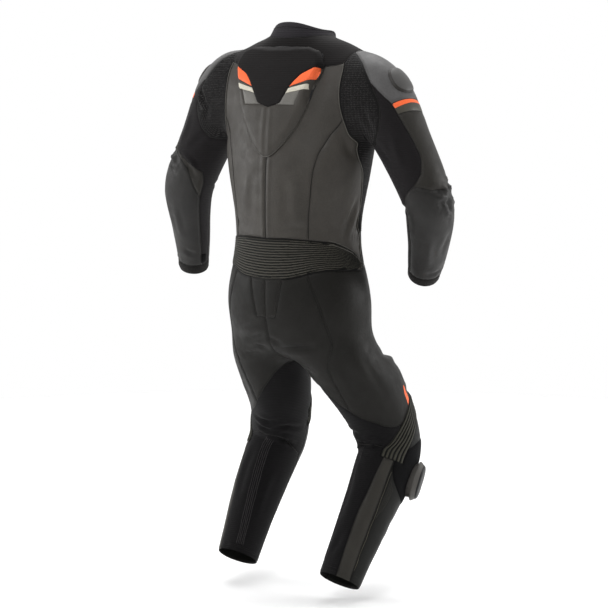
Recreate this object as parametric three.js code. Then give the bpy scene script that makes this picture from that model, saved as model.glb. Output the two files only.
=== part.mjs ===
// One-piece leather race suit, filled out and empty: back, hump, belt, sleeves, legs, knee sliders.
// Millimetres. +Z up, the front faces -Y, the wearer's left is +X. Origin: middle of the neck base.
import * as THREE from 'three';

// Sizes.
const WALL = 1.6;            // cloth and leather thickness
const GAP = 0.3;             // space between two sewn pieces
const COLLAR_BASE = 30;      // ring where the collar is sewn on
const YOKE_EDGE = -30;       // ring where the yoke meets the back
const ZIP_HALF = 3.4;        // half width of the front zip tape, degrees round the chest
const ZIP_END = -640;        // lower end of the front zip
const BELT_RIBS = 15;
const BELT_RIB_HEIGHT = 2.4;
const KNEE_RIBS = 6;
const KNEE_RIB_HEIGHT = 2.2;
const HUMP_RISE = 26;        // height of the back hump at the shoulders
const HUMP_RIM = 4;
const HUMP_SHOULDER = 15;    // width of the hump's rounded flank
const CUFF_LENGTH = 27;
const STRIPE_WIDTH = 21;     // band on the upper arm
const KNEE = { turn: -90, height: -1003, wide: 1.55, inner: 94, outer: 130, bottom: -1012, end: -165 };
const GRIP = { turn: -36, height: -1018, wide: 95, tall: 60, rise: 1.6 };
const ARC = 1.33;            // millimetres per degree round the knee
const SLIDER_SIZE = [31, 48]; // half width and half height of the knee slider
const CUP_SIZE = [34, 34];   // half sizes of the shoulder shield
const FOOT_CLEAR = 0.35;     // air under a hard shield

// Torso rings below the arms: height at back, side and front, half width, depth at back and front.
const TORSO = [
  [-714, -672, -700, 188, 114, -128],
  [-666, -630, -650, 192, 131, -124],
  [-612, -586, -600, 192, 137, -119],
  [-560, -542, -552, 182, 136, -114],
  [-512, -500, -506, 168, 133, -110],
  [-466, -458, -462, 160, 133, -110],
  [-422, -416, -420, 160, 135, -112],
  [-378, -372, -376, 168, 136, -116],
  [-332, -328, -330, 179, 136, -120],
  [-286, -288, -284, 189, 134, -122],
  [-240, -254, -238, 197, 129, -122],
];
// Rings beside the armholes: height and depth on the spine, height and depth on the breastbone.
const CHEST = [
  [-200, 122, -198, -122],
  [-162, 112, -166, -118],
  [-122, 100, -136, -110],
  [-84, 87, -108, -100],
  [-50, 76, -82, -90],
];
// Shoulder and collar rings, as the torso rings with the depth at the side added.
const NECK = [
  [-22, 12, -60, 138, 68, -84, -14],
  [4, 22, -42, 102, 64, -80, -14],
  [22, 30, -26, 80, 60, -81, -15],
  [42, 38, -10, 75, 55, -84, -18],
  [62, 42, 8, 72, 46, -92, -24],
];
const HEIGHTS = [-210, -165, -120, -75, -30, -8, 14, 30, 50, 72];
const ARMHOLE = { x: 188, y: -8, z: -118, high: 113, deep: 80, lean: 12, sink: 20 };
// Sleeve rings: centre, half size outward, back and front, and how far the ring has turned to the arm.
const ARM = {
  l: [
    [207, -9, -112, 110, 80, 79, 0.16],
    [229, -11, -122, 106, 79, 78, 0.4],
    [250, -13, -140, 94, 76, 75, 0.68],
    [271, -15, -172, 81, 72, 72, 0.92],
    [293, -16, -207, 71, 70, 69, 1],
    [315, -16, -244, 67, 68, 66, 1],
    [336, -17, -280, 65, 67, 63, 1],
    [357, -19, -314, 66, 66, 60, 1],
    [375, -25, -348, 66, 63, 58, 1],
    [389, -39, -383, 63, 59, 55, 1],
    [399, -56, -419, 55, 54, 52, 1],
    [409, -72, -455, 51, 49, 49, 1],
    [419, -88, -491, 47, 45, 46, 1],
    [430, -104, -528, 43, 41, 42, 1],
    [441, -118, -563, 40, 38, 38, 1],
  ],
  r: [
    [207, -9, -114, 105, 80, 79, 0.16],
    [227, -12, -124, 99, 78, 78, 0.4],
    [246, -15, -142, 87, 75, 75, 0.68],
    [265, -18, -174, 75, 71, 72, 0.92],
    [285, -20, -210, 68, 68, 69, 1],
    [306, -22, -248, 65, 66, 66, 1],
    [326, -24, -285, 63, 64, 63, 1],
    [342, -27, -320, 61, 64, 60, 1],
    [352, -38, -354, 60, 65, 58, 1],
    [342, -57, -386, 59, 61, 56, 1],
    [328, -76, -416, 56, 56, 53, 1],
    [312, -96, -447, 52, 51, 50, 1],
    [294, -116, -479, 48, 46, 47, 1],
    [275, -136, -511, 44, 42, 43, 1],
    [254, -156, -543, 39, 38, 38, 1],
  ],
};
// Leg rings: centre, half size outward, inward, back and front, and how far the ring has turned.
const LEG = {
  l: [
    [99, -8, -744, 91, 88, 101, 106, 0.2],
    [104, -28, -784, 84, 84, 94, 104, 0.5],
    [110, -50, -824, 79, 80, 86, 96, 0.8],
    [119, -72, -862, 77, 77, 80, 88, 1],
    [130, -91, -898, 79, 73, 78, 81, 1],
    [141, -106, -930, 80, 70, 78, 77, 1],
    [151, -115, -958, 79, 69, 77, 76, 1],
    [158, -114, -986, 74, 68, 76, 76, 1],
    [163, -102, -1016, 73, 66, 78, 70, 1],
    [165, -84, -1050, 71, 63, 79, 64, 1],
    [166, -62, -1088, 69, 60, 78, 59, 1],
    [166, -38, -1130, 66, 57, 74, 55, 1],
    [165, -13, -1170, 63, 54, 68, 52, 1],
    [163, 12, -1210, 58, 51, 62, 50, 1],
    [161, 43, -1258, 54, 50, 57, 49, 1],
  ],
  r: [
    [105, -22, -744, 100, 88, 98, 114, 0.2],
    [119, -56, -784, 98, 82, 92, 114, 0.5],
    [132, -86, -824, 93, 77, 88, 109, 0.8],
    [142, -108, -862, 87, 74, 84, 101, 1],
    [151, -127, -898, 83, 71, 84, 93, 1],
    [158, -140, -930, 80, 70, 90, 88, 1],
    [163, -146, -958, 78, 70, 92, 86, 1],
    [166, -141, -986, 76, 69, 92, 84, 1],
    [167, -125, -1016, 74, 67, 92, 78, 1],
    [166, -104, -1050, 72, 64, 91, 69, 1],
    [164, -80, -1088, 69, 60, 82, 62, 1],
    [161, -52, -1130, 66, 57, 78, 57, 1],
    [158, -24, -1172, 62, 54, 72, 53, 1],
    [155, 4, -1214, 58, 51, 65, 50, 1],
    [152, 41, -1272, 54, 50, 59, 49, 1],
  ],
};
const CROTCH = [[-58, -742], [0, -762], [56, -748]];

// Seams. Torso: degrees round from the spine, height. Arm and leg: degrees from the outer line, height
// or distance down the arm.
const BELT_TOP = [[0, -440], [20, -440], [40, -445], [67, -455], [87, -477], [104, -510], [112, -512],
  [140, -506], [180, -500]];
const BELT_LOW = [[0, -529], [20, -526], [42, -516], [55, -514], [78, -519], [97, -524], [106, -506],
  [114, -486], [180, -470]];
const PRINCESS = [[-439, 40], [-351, 39], [-289, 38], [-252, 40], [-208, 46], [-171, 60], [-150, 68], [-30, 92]];
const SIDE_BACK = [[-512, 104], [-458, 103], [-400, 101], [-345, 96], [-288, 84], [-254, 70], [-30, 70]];
const SIDE_FRONT = [[-512, 113], [-400, 118], [-300, 116], [-254, 112], [-30, 112]];
const SEAT_SIDE = [[-700, 60], [-643, 50], [-588, 44], [-525, 36], [-500, 34]];
const SEAT_LEG = [[-860, 92], [-831, 86], [-769, 80], [-744, 70], [-672, 45], [-640, 40]];
const PATCH = [[-606, 7.5], [-535, 13]];
const LEATHER_LOW = {
  b: [[0, -905], [24, -907], [41, -895], [56, -872], [73, -852], [86, -831], [110, -798], [137, -768],
    [155, -752], [180, -738]],
  f: [[0, -905], [110, -905], [135, -888], [150, -840], [158, -795], [168, -755], [180, -738]],
};
const KNEE_SEAM = {
  b: [[0, -1012], [37, -1011], [55, -1009], [62, -965], [75, -932], [117, -928], [140, -950], [162, -983],
    [180, -996]],
  f: [[0, -1012], [150, -1010], [162, -1005], [180, -996]],
};
const STRIP_BACK = [[-1275, 63], [-1210, 66], [-1137, 67], [-1062, 60], [-1000, 54]];
const STRIP_FRONT = [[-1275, 26], [-1184, 32], [-1123, 35], [-1062, 37], [-1000, 37]];
const CALF_INNER = [[-1275, 166], [-1185, 157], [-1133, 158], [-1000, 160]];
const GUSSET = {
  b: [[0, -20], [15, 0], [30, 16], [48, 34], [60, 51], [67, 72], [75, 92], [100, 122], [125, 138], [150, 126],
    [180, 100]],
  f: [[0, -20], [118, -4], [140, 30], [160, 78], [180, 104]],
};
const STRETCH = {
  l: [[0, 47], [30, 50], [45, 55], [59, 56], [74, 53], [88, 48], [140, 42], [175, 40], [205, 46], [218, 62],
    [226, 100], [234, 145], [260, 158], [380, 166], [560, 170]],
  r: [[0, 47], [30, 50], [45, 55], [59, 56], [74, 53], [88, 48], [140, 42], [173, 37], [219, 36], [247, 50],
    [260, 71], [270, 103], [290, 133], [340, 146], [400, 150], [560, 150]],
};
const STRETCH_FRONT = [[0, 106], [60, 108], [150, 100], [230, 106], [262, 128], [300, 148], [560, 160]];
const ELBOW = {
  l: [[0, 214], [77, 227], [113, 242], [137, 278], [161, 309], [180, 330]],
  r: [[0, 288], [42, 280], [70, 266], [110, 262], [180, 300]],
};
const BAND = [[-110, 106], [-60, 101], [-8, 96], [49, 89], [60, 88]];
const HUMP_LOW = [[0, -266], [5, -258], [12, -232], [20, -193], [29, -138], [32, -104], [39, -44], [43, -14],
  [60, 70]];
const HUMP_TOP = [[0, 13], [20, 11], [35, 4], [46, -14], [60, -40]];
const HUMP_HEIGHT = [[-266, 6], [-232, 10], [-193, 14], [-138, 20], [-90, 26], [-30, 27], [10, 24]];
const INSERT = [[0, -144], [9, -134], [14, -104], [18, -80], [24, -56], [34, -42], [50, -34]];
const ORANGE_LOW = [[12, -92], [19, -84], [38, -64]];
const WHITE_TOP = [[10, -102], [17, -95], [31, -86]];
const WHITE_LOW = [[10, -112], [17, -106], [31, -97]];
const GREY_SIDE = [[-140, 20], [-100, 25]];

// Helpers.
const rad = (d) => d * Math.PI / 180;
function read(table, x) {
  if (x <= table[0][0]) return table[0][1];
  for (let i = 1; i < table.length; i++) {
    if (x <= table[i][0]) {
      const [x0, y0] = table[i - 1];
      const [x1, y1] = table[i];
      return y0 + (y1 - y0) * (x - x0) / (x1 - x0);
    }
  }
  return table[table.length - 1][1];
}
const vec = (x, y, z) => new THREE.Vector3(x, y, z);

// The suit as one net of four-sided faces.
const net = { point: [], normal: [], faces: [] };
function addPoint(p) {
  net.point.push(p.clone());
  return net.point.length - 1;
}
function addFace(ids, marks, tag, flip) {
  const v = flip ? [...ids].reverse() : [...ids];
  const q = flip ? [...marks].reverse() : [...marks];
  net.faces.push({ v, q, part: tag.part, side: tag.side, half: tag.half, piece: tag.part + '_' + tag.side, on: {} });
}
function torsoRing(zb, zs, zf, half, yb, yf, ys = 0) {
  const pts = [];
  for (let j = 0; j <= 12; j++) {
    const t = j / 12 * Math.PI;
    const s = Math.sin(t);
    const c = Math.cos(t);
    const reach = Math.pow(Math.abs(c), 1 / 1.12);
    const end = c >= 0 ? yb : yf;
    const tip = c >= 0 ? zb : zf;
    pts.push(vec(half * Math.pow(Math.abs(s), 1 / 1.12), ys + (end - ys) * reach, zs + (tip - zs) * c * c));
  }
  return pts;
}
function armholePoint(k) {
  const a = k * Math.PI / 8;
  const c = Math.cos(a);
  const s = Math.sin(a);
  const m = ARMHOLE;
  return vec(m.x - m.lean * c - m.sink * s * s, m.y + m.deep * s * (s > 0 ? 1 : 0.98), m.z + m.high * c);
}
function spread(t) {
  const w = rad(68);
  return [Math.sin(t * w) / Math.sin(w), (Math.cos(t * w) - Math.cos(w)) / (1 - Math.cos(w))];
}
function halfTorso() {
  const rows = TORSO.map((r) => torsoRing(...r));
  CHEST.forEach(([zb, yb, zf, yf], i) => {
    const row = new Array(13).fill(null);
    const back = armholePoint(6 - i);
    const front = armholePoint(i - 6);
    for (let j = 0; j <= 4; j++) {
      const t = j / 4;
      const [sx, cy] = spread(t);
      row[j] = vec(back.x * sx, back.y + (yb - back.y) * cy, zb + (back.z - zb) * Math.pow(t, 1.6));
      row[12 - j] = vec(front.x * sx, front.y + (yf - front.y) * cy, zf + (front.z - zf) * Math.pow(t, 1.6));
    }
    for (let j = 5; j < 8; j++) {
      if (i === 0) row[j] = armholePoint(j + 2);
      if (i === CHEST.length - 1) row[j] = armholePoint(6 - j);
    }
    rows.push(row);
  });
  NECK.forEach((r) => rows.push(torsoRing(...r)));
  return rows;
}
function limbRings(table, first, reference, flat, angle, half) {
  const centre = table.map((r) => vec(r[0], r[1], r[2]));
  return table.map((r, i) => {
    const before = i ? centre[i - 1] : first;
    const after = centre[Math.min(i + 1, table.length - 1)];
    const turn = r[r.length - 1];
    const along = after.clone().sub(before).normalize();
    const axis = flat.clone().multiplyScalar(1 - turn).addScaledVector(along, turn).normalize();
    const u = reference.clone().addScaledVector(axis, -reference.dot(axis)).normalize();
    const v = u.clone().cross(axis);
    const [out, inn, back, front] = half(r);
    const pts = [];
    for (let k = 0; k < 16; k++) {
      const c = Math.cos(angle(k));
      const s = Math.sin(angle(k));
      const p = centre[i].clone().addScaledVector(u, c * (c > 0 ? out : inn));
      pts.push(p.addScaledVector(v, s * (s > 0 ? back : front)));
    }
    return pts;
  });
}
function buildNet() {
  const rows = halfTorso();
  const level = [...TORSO.map((r) => r[1]), ...HEIGHTS];
  const low = TORSO.length;
  const top = low + CHEST.length - 1;
  const grid = { l: [], r: [] };
  const sides = [['l', 1], ['r', -1]];
  for (const [side, sign] of sides) {
    rows.forEach((row, r) => {
      grid[side].push(row.map((p, j) => {
        if (!p) return -1;
        const middle = j === 0 || j === 12;
        if (middle && side === 'r') return grid.l[r][j];
        return addPoint(vec(middle ? 0 : sign * p.x, p.y, p.z));
      }));
    });
    for (let r = 0; r < rows.length - 1; r++) {
      for (let j = 0; j < 12; j++) {
        if (r >= low && r < top && j >= 4 && j < 8) continue;
        const g = grid[side];
        const a = j * 15;
        const b = a + 15;
        addFace([g[r][j], g[r][j + 1], g[r + 1][j + 1], g[r + 1][j]],
          [[a, level[r]], [b, level[r]], [b, level[r + 1]], [a, level[r + 1]]],
          { part: 'torso', side, half: 't' }, side === 'l');
      }
    }
  }
  const hub = vec(ARMHOLE.x, ARMHOLE.y, ARMHOLE.z);
  for (const [side, sign] of sides) {
    const g = grid[side];
    let ring = [];
    for (let k = 0; k < 16; k++) {
      if (k <= 2) ring.push(g[top][6 - k]);
      else if (k <= 6) ring.push(g[top + 2 - k][4]);
      else if (k <= 10) ring.push(g[low][k - 2]);
      else if (k <= 14) ring.push(g[low + k - 10][8]);
      else ring.push(g[top][7]);
    }
    let d0 = 0;
    let last = hub;
    const rings = limbRings(ARM[side], hub, vec(1, 0, 0.62), vec(1, 0, 0), (k) => k * Math.PI / 8,
      (r) => [r[3], r[3], r[4], r[5]]);
    rings.forEach((pts, i) => {
      const centre = vec(...ARM[side][i].slice(0, 3));
      const d1 = d0 + centre.distanceTo(last);
      last = centre;
      const next = pts.map((p) => addPoint(vec(sign * p.x, p.y, p.z)));
      for (let k = 0; k < 16; k++) {
        const n = (k + 1) % 16;
        const back = k < 8;
        const a = back ? k * 22.5 : 360 - k * 22.5;
        const b = back ? a + 22.5 : a - 22.5;
        addFace([ring[k], ring[n], next[n], next[k]], [[a, d0], [b, d0], [b, d1], [a, d1]],
          { part: 'arm', side, half: back ? 'b' : 'f' }, side === 'l');
      }
      ring = next;
      d0 = d1;
    });
    net['arm_' + side] = d0;
  }
  const mid = CROTCH.map(([y, z]) => addPoint(vec(0, y, z)));
  for (const [side, sign] of sides) {
    let ring = [...grid[side][0], ...mid];
    let h0 = TORSO[0][1];
    const rings = limbRings(LEG[side], vec(95, 0, -690), vec(1, 0, 0), vec(0, 0, -1),
      (m) => -(m - 6) * Math.PI / 8, (r) => [r[3], r[4], r[5], r[6]]);
    rings.forEach((pts, i) => {
      const h1 = LEG[side][i][2];
      const next = pts.map((p) => addPoint(vec(sign * p.x, p.y, p.z)));
      for (let m = 0; m < 16; m++) {
        const n = (m + 1) % 16;
        const front = m >= 6 && m < 14;
        const a = front ? (m - 6) * 22.5 : (m < 6 ? (6 - m) * 22.5 : (22 - m) * 22.5);
        const b = front ? a + 22.5 : a - 22.5;
        addFace([ring[m], ring[n], next[n], next[m]], [[a, h0], [b, h0], [b, h1], [a, h1]],
          { part: 'leg', side, half: front ? 'f' : 'b' }, side === 'r');
      }
      ring = next;
      h0 = h1;
    });
  }
}
// Moves every point of the net onto the smooth surface that the net describes.
function relax() {
  const n = net.point.length;
  const edge = new Map();
  const around = Array.from({ length: n }, () => ({ edge: new Set(), cross: [] }));
  for (const f of net.faces) {
    for (let i = 0; i < 4; i++) {
      const a = f.v[i];
      const b = f.v[(i + 1) % 4];
      const key = Math.min(a, b) + '_' + Math.max(a, b);
      edge.set(key, (edge.get(key) || 0) + 1);
      around[a].edge.add(b);
      around[b].edge.add(a);
      around[a].cross.push(f.v[(i + 2) % 4]);
    }
  }
  const rim = Array.from({ length: n }, () => []);
  for (const [key, count] of edge) {
    if (count > 1) continue;
    const [a, b] = key.split('_').map(Number);
    rim[a].push(b);
    rim[b].push(a);
  }
  net.point = net.point.map((p, i) => {
    const out = vec(0, 0, 0);
    if (rim[i].length) {
      rim[i].forEach((j) => out.add(net.point[j]));
      return out.addScaledVector(p, 4).multiplyScalar(1 / 6);
    }
    const k = around[i].edge.size;
    around[i].edge.forEach((j) => out.addScaledVector(net.point[j], 4));
    around[i].cross.forEach((j) => out.add(net.point[j]));
    return out.addScaledVector(p, k * k).multiplyScalar(1 / (k * (k + 5)));
  });
  net.normal = net.point.map(() => vec(0, 0, 0));
  for (const f of net.faces) {
    const [a, b, c, d] = f.v.map((i) => net.point[i]);
    const cross = c.clone().sub(a).cross(d.clone().sub(b)).normalize();
    f.v.forEach((i) => net.normal[i].add(cross));
  }
  net.normal.forEach((m) => m.normalize());
}

// Cutting the net along seams.
// Splits the chosen faces where field() is zero; low and high then say what each side becomes.
function cut(chosen, field, low, high) {
  const faces = net.faces.filter(chosen);
  const value = new Map();
  for (const f of faces) {
    f.v.forEach((v, i) => {
      if (!value.has(v)) value.set(v, field(f.q[i][0], f.q[i][1], f));
    });
  }
  const sameKind = new Map();
  for (const f of net.faces) {
    const mine = faces.includes(f) ? f.part + f.side + f.half : 'other';
    for (const v of f.v) {
      const was = sameKind.get(v);
      sameKind.set(v, was === undefined || was === mine ? mine : 'mixed');
    }
  }
  const slide = new Map();
  for (const f of faces) {
    const k = f.v.length;
    for (let i = 0; i < k; i++) {
      for (const j of [(i + 1) % k, (i + k - 1) % k]) {
        const a = value.get(f.v[i]);
        const b = value.get(f.v[j]);
        if (a * b >= 0) continue;
        const t = Math.abs(a) / (Math.abs(a) + Math.abs(b));
        const free = !['other', 'mixed'].includes(sameKind.get(f.v[i]));
        if (t > (free ? 0.2 : 0.1)) continue;
        const old = slide.get(f.v[i]);
        if (old && old.t <= t) continue;
        slide.set(f.v[i], { t, free, to: f.v[j], dq: [f.q[j][0] - f.q[i][0], f.q[j][1] - f.q[i][1]] });
      }
    }
  }
  const was = new Map();
  slide.forEach((s, v) => was.set(v, [net.point[v].clone(), net.normal[v].clone()]));
  slide.forEach((s, v) => {
    value.set(v, 0);
    if (!s.free || slide.has(s.to)) return;
    net.point[v].lerp(net.point[s.to], s.t);
    net.normal[v].lerp(net.normal[s.to], s.t).normalize();
    for (const f of faces) {
      const i = f.v.indexOf(v);
      if (i >= 0) f.q[i] = [f.q[i][0] + s.dq[0] * s.t, f.q[i][1] + s.dq[1] * s.t];
    }
  });
  const split = new Map();
  const crossing = (f, i, j) => {
    const a = f.v[i];
    const b = f.v[j];
    const key = Math.min(a, b) + '_' + Math.max(a, b);
    const fa = value.get(a);
    let lo = 0;
    let hi = 1;
    for (let n = 0; n < 12; n++) {
      const m = (lo + hi) / 2;
      const q = [f.q[i][0] + (f.q[j][0] - f.q[i][0]) * m, f.q[i][1] + (f.q[j][1] - f.q[i][1]) * m];
      if (field(q[0], q[1], f) * fa > 0) lo = m;
      else hi = m;
    }
    let t = Math.min(0.9, Math.max(0.1, (lo + hi) / 2));
    if (split.has(key)) t = split.get(key).from === a ? split.get(key).t : 1 - split.get(key).t;
    else {
      const id = addPoint(net.point[a].clone().lerp(net.point[b], t));
      net.normal[id] = net.normal[a].clone().lerp(net.normal[b], t).normalize();
      split.set(key, { id, t, from: a });
    }
    return { v: split.get(key).id, t, q: [0, 1].map((n) => f.q[i][n] + (f.q[j][n] - f.q[i][n]) * t) };
  };
  const made = [];
  for (const f of faces) {
    const sides = { low: { v: [], q: [] }, high: { v: [], q: [] } };
    const k = f.v.length;
    let lows = 0;
    let highs = 0;
    f.v.forEach((v) => {
      if (value.get(v) < 0) lows++;
      if (value.get(v) > 0) highs++;
    });
    if (!lows || !highs) {
      const mean = [0, 1].map((n) => f.q.reduce((s, q) => s + q[n], 0) / k);
      const isHigh = highs > 0 || (!lows && field(mean[0], mean[1], f) > 0);
      (isHigh ? high : low)(f);
      made.push(f);
      continue;
    }
    for (let i = 0; i < k; i++) {
      const j = (i + 1) % k;
      const a = value.get(f.v[i]);
      const b = value.get(f.v[j]);
      if (a <= 0) { sides.low.v.push(f.v[i]); sides.low.q.push(f.q[i]); }
      if (a >= 0) { sides.high.v.push(f.v[i]); sides.high.q.push(f.q[i]); }
      if (a * b < 0) {
        const c = crossing(f, i, j);
        for (const s of [sides.low, sides.high]) { s.v.push(c.v); s.q.push(c.q); }
      }
    }
    for (const [name, act] of [['low', low], ['high', high]]) {
      if (sides[name].v.length < 3) continue;
      const g = { ...f, v: sides[name].v, q: sides[name].q, on: { ...f.on } };
      act(g);
      made.push(g);
    }
  }
  const chosenSet = new Set(faces);
  const rest = net.faces.filter((f) => !chosenSet.has(f));
  for (const f of rest) {
    for (let i = f.v.length - 1; i >= 0; i--) {
      const j = (i + 1) % f.v.length;
      const s = split.get(Math.min(f.v[i], f.v[j]) + '_' + Math.max(f.v[i], f.v[j]));
      if (!s) continue;
      const t = s.from === f.v[i] ? s.t : 1 - s.t;
      const q = [0, 1].map((n) => f.q[i][n] + (f.q[j][n] - f.q[i][n]) * t);
      f.v.splice(i + 1, 0, s.id);
      f.q.splice(i + 1, 0, q);
    }
  }
  net.faces = [...rest, ...made];
}
const is = (...names) => (f) => names.includes(f.piece);
const name = (piece) => (f) => { f.piece = piece; };
const mark = (key, on) => (f) => { f.on[key] = on; };
const turnOf = (a, f) => (f.half === 'b' ? a : -a);

function kneeRing(a, h, f) {
  const s = turnOf(a, f);
  return Math.hypot((s - KNEE.turn) * ARC / KNEE.wide, h - KNEE.height);
}
function gripField(a, h, f) {
  const s = turnOf(a, f);
  return 1 - Math.hypot((s - GRIP.turn) * ARC / GRIP.wide, (h - GRIP.height) / GRIP.tall);
}
function cutTorso(side) {
  const torso = 'torso_' + side;
  cut(is(torso), (a, h) => h - COLLAR_BASE, () => {}, name('collar'));
  cut(is(torso), (a, h) => h - YOKE_EDGE, () => {}, name('yoke'));
  cut(is(torso), (a, h) => h - read(BELT_TOP, a), name('below'), () => {});
  cut(is('below'), (a, h) => read(BELT_LOW, a) - h, name('belt'), name('hip_' + side));
  cut(is(torso), (a, h) => a - read(PRINCESS, h), name('back_' + side), () => {});
  cut(is(torso), (a, h) => a - read(SIDE_BACK, h), name('side_back_' + side), () => {});
  cut(is(torso), (a, h) => a - read(SIDE_FRONT, h), name('gusset_' + side), name('front_' + side));
  cut((f) => f.piece === 'hip_' + side, (a, h) => a - read(SEAT_SIDE, h), name('seat_' + side),
    name('thigh_' + side));
  cut((f) => f.piece === 'seat_' + side && f.part === 'torso', (a, h) => h + 606, () => {}, (f) => {
    f.on.patch = true;
  });
  cut((f) => f.on.patch && f.piece === 'seat_' + side, (a, h) => a - read(PATCH, h), name('patch'), () => {});
}
function cutZip(side) {
  const f0 = (f) => ['collar', 'yoke', 'front_' + side].includes(f.piece) && f.side === side;
  cut(f0, (a) => a - (180 - ZIP_HALF), () => {}, name('zip_tape'));
  cut(is('thigh_' + side), (a, h, f) => (f.part === 'torso' ? h - ZIP_END : -1), () => {}, mark('zip', 1));
  cut((f) => f.on.zip && f.piece === 'thigh_' + side, (a) => a - (180 - ZIP_HALF), () => {}, name('zip_tape'));
}
function cutLeg(side) {
  const leg = 'leg_' + side;
  const near = (f) => f.piece === leg && (f.half === 'f' || Math.max(...f.q.map((q) => q[0])) < 100);
  cut(near, (a, h, f) => KNEE.outer - kneeRing(a, h, f), () => {}, name('horseshoe'));
  cut(is('horseshoe'), (a, h) => h - KNEE.bottom, name(leg), () => {});
  cut(is('horseshoe'), (a, h, f) => turnOf(a, f) - KNEE.end, name(leg), () => {});
  cut(is('horseshoe'), (a, h, f) => kneeRing(a, h, f) - KNEE.inner, name('shin_' + side),
    name('knee_' + side));
  cut(is(leg), (a, h, f) => h - read(LEATHER_LOW[f.half], a), () => {}, name('hip_' + side));
  cut((f) => f.piece === 'hip_' + side && f.half === 'b', (a, h) => a - read(SEAT_LEG, h),
    name('thigh_' + side), name('seat_' + side));
  cut(is('hip_' + side), () => 1, () => {}, name('thigh_' + side));
  cut(is(leg), (a, h, f) => h - read(KNEE_SEAM[f.half], a), () => {}, name('thigh_stretch_' + side));
  cut((f) => f.piece === leg && f.half === 'b', (a, h) => a - read(STRIP_BACK, h), () => {},
    name('calf_' + side));
  cut((f) => f.piece === leg && f.half === 'b', (a, h) => a - read(STRIP_FRONT, h), name('shin_' + side),
    name('strip_' + side));
  cut(is(leg), (a, h) => a - read(CALF_INNER, h), name('shin_' + side), name('calf_' + side));
}
function cutArm(side) {
  const arm = 'arm_' + side;
  const end = net['arm_' + side];
  cut(is(arm), (a, d) => d - (end - CUFF_LENGTH), () => {}, name('cuff_' + side));
  cut(is(arm), (a, d, f) => read(GUSSET[f.half], a) - d, () => {}, name('gusset_' + side));
  cut(is(arm), (a, d, f) => a - (f.half === 'b' ? read(STRETCH[side], d) : read(STRETCH_FRONT, d)),
    () => {}, name('sleeve_stretch_' + side));
  cut(is(arm), (a, d) => d - read(ELBOW[side], a), () => {}, name('forearm_' + side));
  cut(is(arm), (a, d, f) => d - read(BAND, turnOf(a, f)), name('cap_' + side), () => {});
  cut(is(arm), (a, d, f) => read(BAND, turnOf(a, f)) + STRIPE_WIDTH - d, name('sleeve_' + side),
    name('arm_band_' + side));
}
function cutHump(side) {
  const near = (f) => f.side === side && f.part === 'torso' && ['back_' + side, 'yoke'].includes(f.piece)
    && Math.min(...f.q.map((q) => q[0])) < 55;
  cut(near, (a, h) => read(HUMP_TOP, a) - h, () => {}, mark('hump0', 1));
  const top = (f) => f.on.hump0 && f.side === side;
  cut(top, (a, h) => h - read(HUMP_LOW, a), () => {}, mark('hump', 'shell'));
  const shell = (f) => f.on.hump === 'shell' && f.side === side;
  cut(shell, (a, h) => h - read(INSERT, a), () => {}, mark('hump', 'insert'));
  cut(shell, (a) => 31 - a, () => {}, mark('stripes', 1));
  const inner = (f) => shell(f) && f.on.stripes;
  cut(inner, (a, h) => h - read(ORANGE_LOW, a), () => {}, mark('hump', 'orange_' + side));
  cut(inner, (a, h) => read(WHITE_TOP, a) - h, () => {}, mark('white0', 1));
  cut((f) => inner(f) && f.on.white0, (a, h) => h - read(WHITE_LOW, a), () => {},
    mark('hump', 'white_' + side));
  cut((f) => inner(f) && f.on.white0, (a, h) => h + 137, () => {}, mark('grey0', 1));
  cut((f) => inner(f) && f.on.grey0, (a, h) => read(GREY_SIDE, h) - a, () => {}, mark('hump', 'grey_' + side));
}

// Raised ribs.
function beltRib(a, h) {
  const low = read(BELT_LOW, a);
  return (h - low) / (read(BELT_TOP, a) - low) * BELT_RIBS;
}
function kneeRib(a, h, f) {
  return (kneeRing(a, h, f) - KNEE.inner) / (KNEE.outer - KNEE.inner) * KNEE_RIBS;
}
const wave = (u) => Math.max(0, 1 - Math.abs(2 * (u - Math.floor(u)) - 1));
function cutRibs() {
  cut((f) => f.piece === 'belt', (a) => 90 - a, () => {}, mark('ribbed', 1));
  for (let n = 1; n < 2 * BELT_RIBS; n++) {
    cut((f) => f.piece === 'belt' && f.on.ribbed, (a, h) => beltRib(a, h) - n / 2, () => {}, () => {});
  }
  for (let n = 1; n < 2 * KNEE_RIBS; n++) {
    cut(is('knee_l', 'knee_r'), (a, h, f) => kneeRib(a, h, f) - n / 2, () => {}, () => {});
  }
}
function liftOf(piece, a, h, f) {
  if (piece === 'belt') return BELT_RIB_HEIGHT * wave(beltRib(a, h)) * Math.min(1, Math.max(0, (90 - a) / 12));
  if (piece.startsWith('knee_')) return KNEE_RIB_HEIGHT * wave(kneeRib(a, h, f));
  return 0;
}

// The hump's height.
function toOutline(table, a, h, k) {
  let best = 1e9;
  for (let i = 1; i < table.length; i++) {
    const [x0, y0] = [table[i - 1][0] * k, table[i - 1][1]];
    const [x1, y1] = [table[i][0] * k, table[i][1]];
    const t = ((a * k - x0) * (x1 - x0) + (h - y0) * (y1 - y0)) / ((x1 - x0) ** 2 + (y1 - y0) ** 2);
    const s = Math.min(1, Math.max(0, t));
    best = Math.min(best, Math.hypot(a * k - x0 - s * (x1 - x0), h - y0 - s * (y1 - y0)));
  }
  return best;
}
const humpDepth = (a, h) => Math.min(toOutline(HUMP_LOW, a, h, 2.9), toOutline(HUMP_TOP, a, h, 2.9));
function humpRise(a, h) {
  const t = Math.min(1, humpDepth(a, h) / HUMP_SHOULDER);
  const full = read(HUMP_HEIGHT, h) * HUMP_RISE / 26;
  return HUMP_RIM + (full - HUMP_RIM) * Math.sin(t * Math.PI / 2);
}

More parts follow.
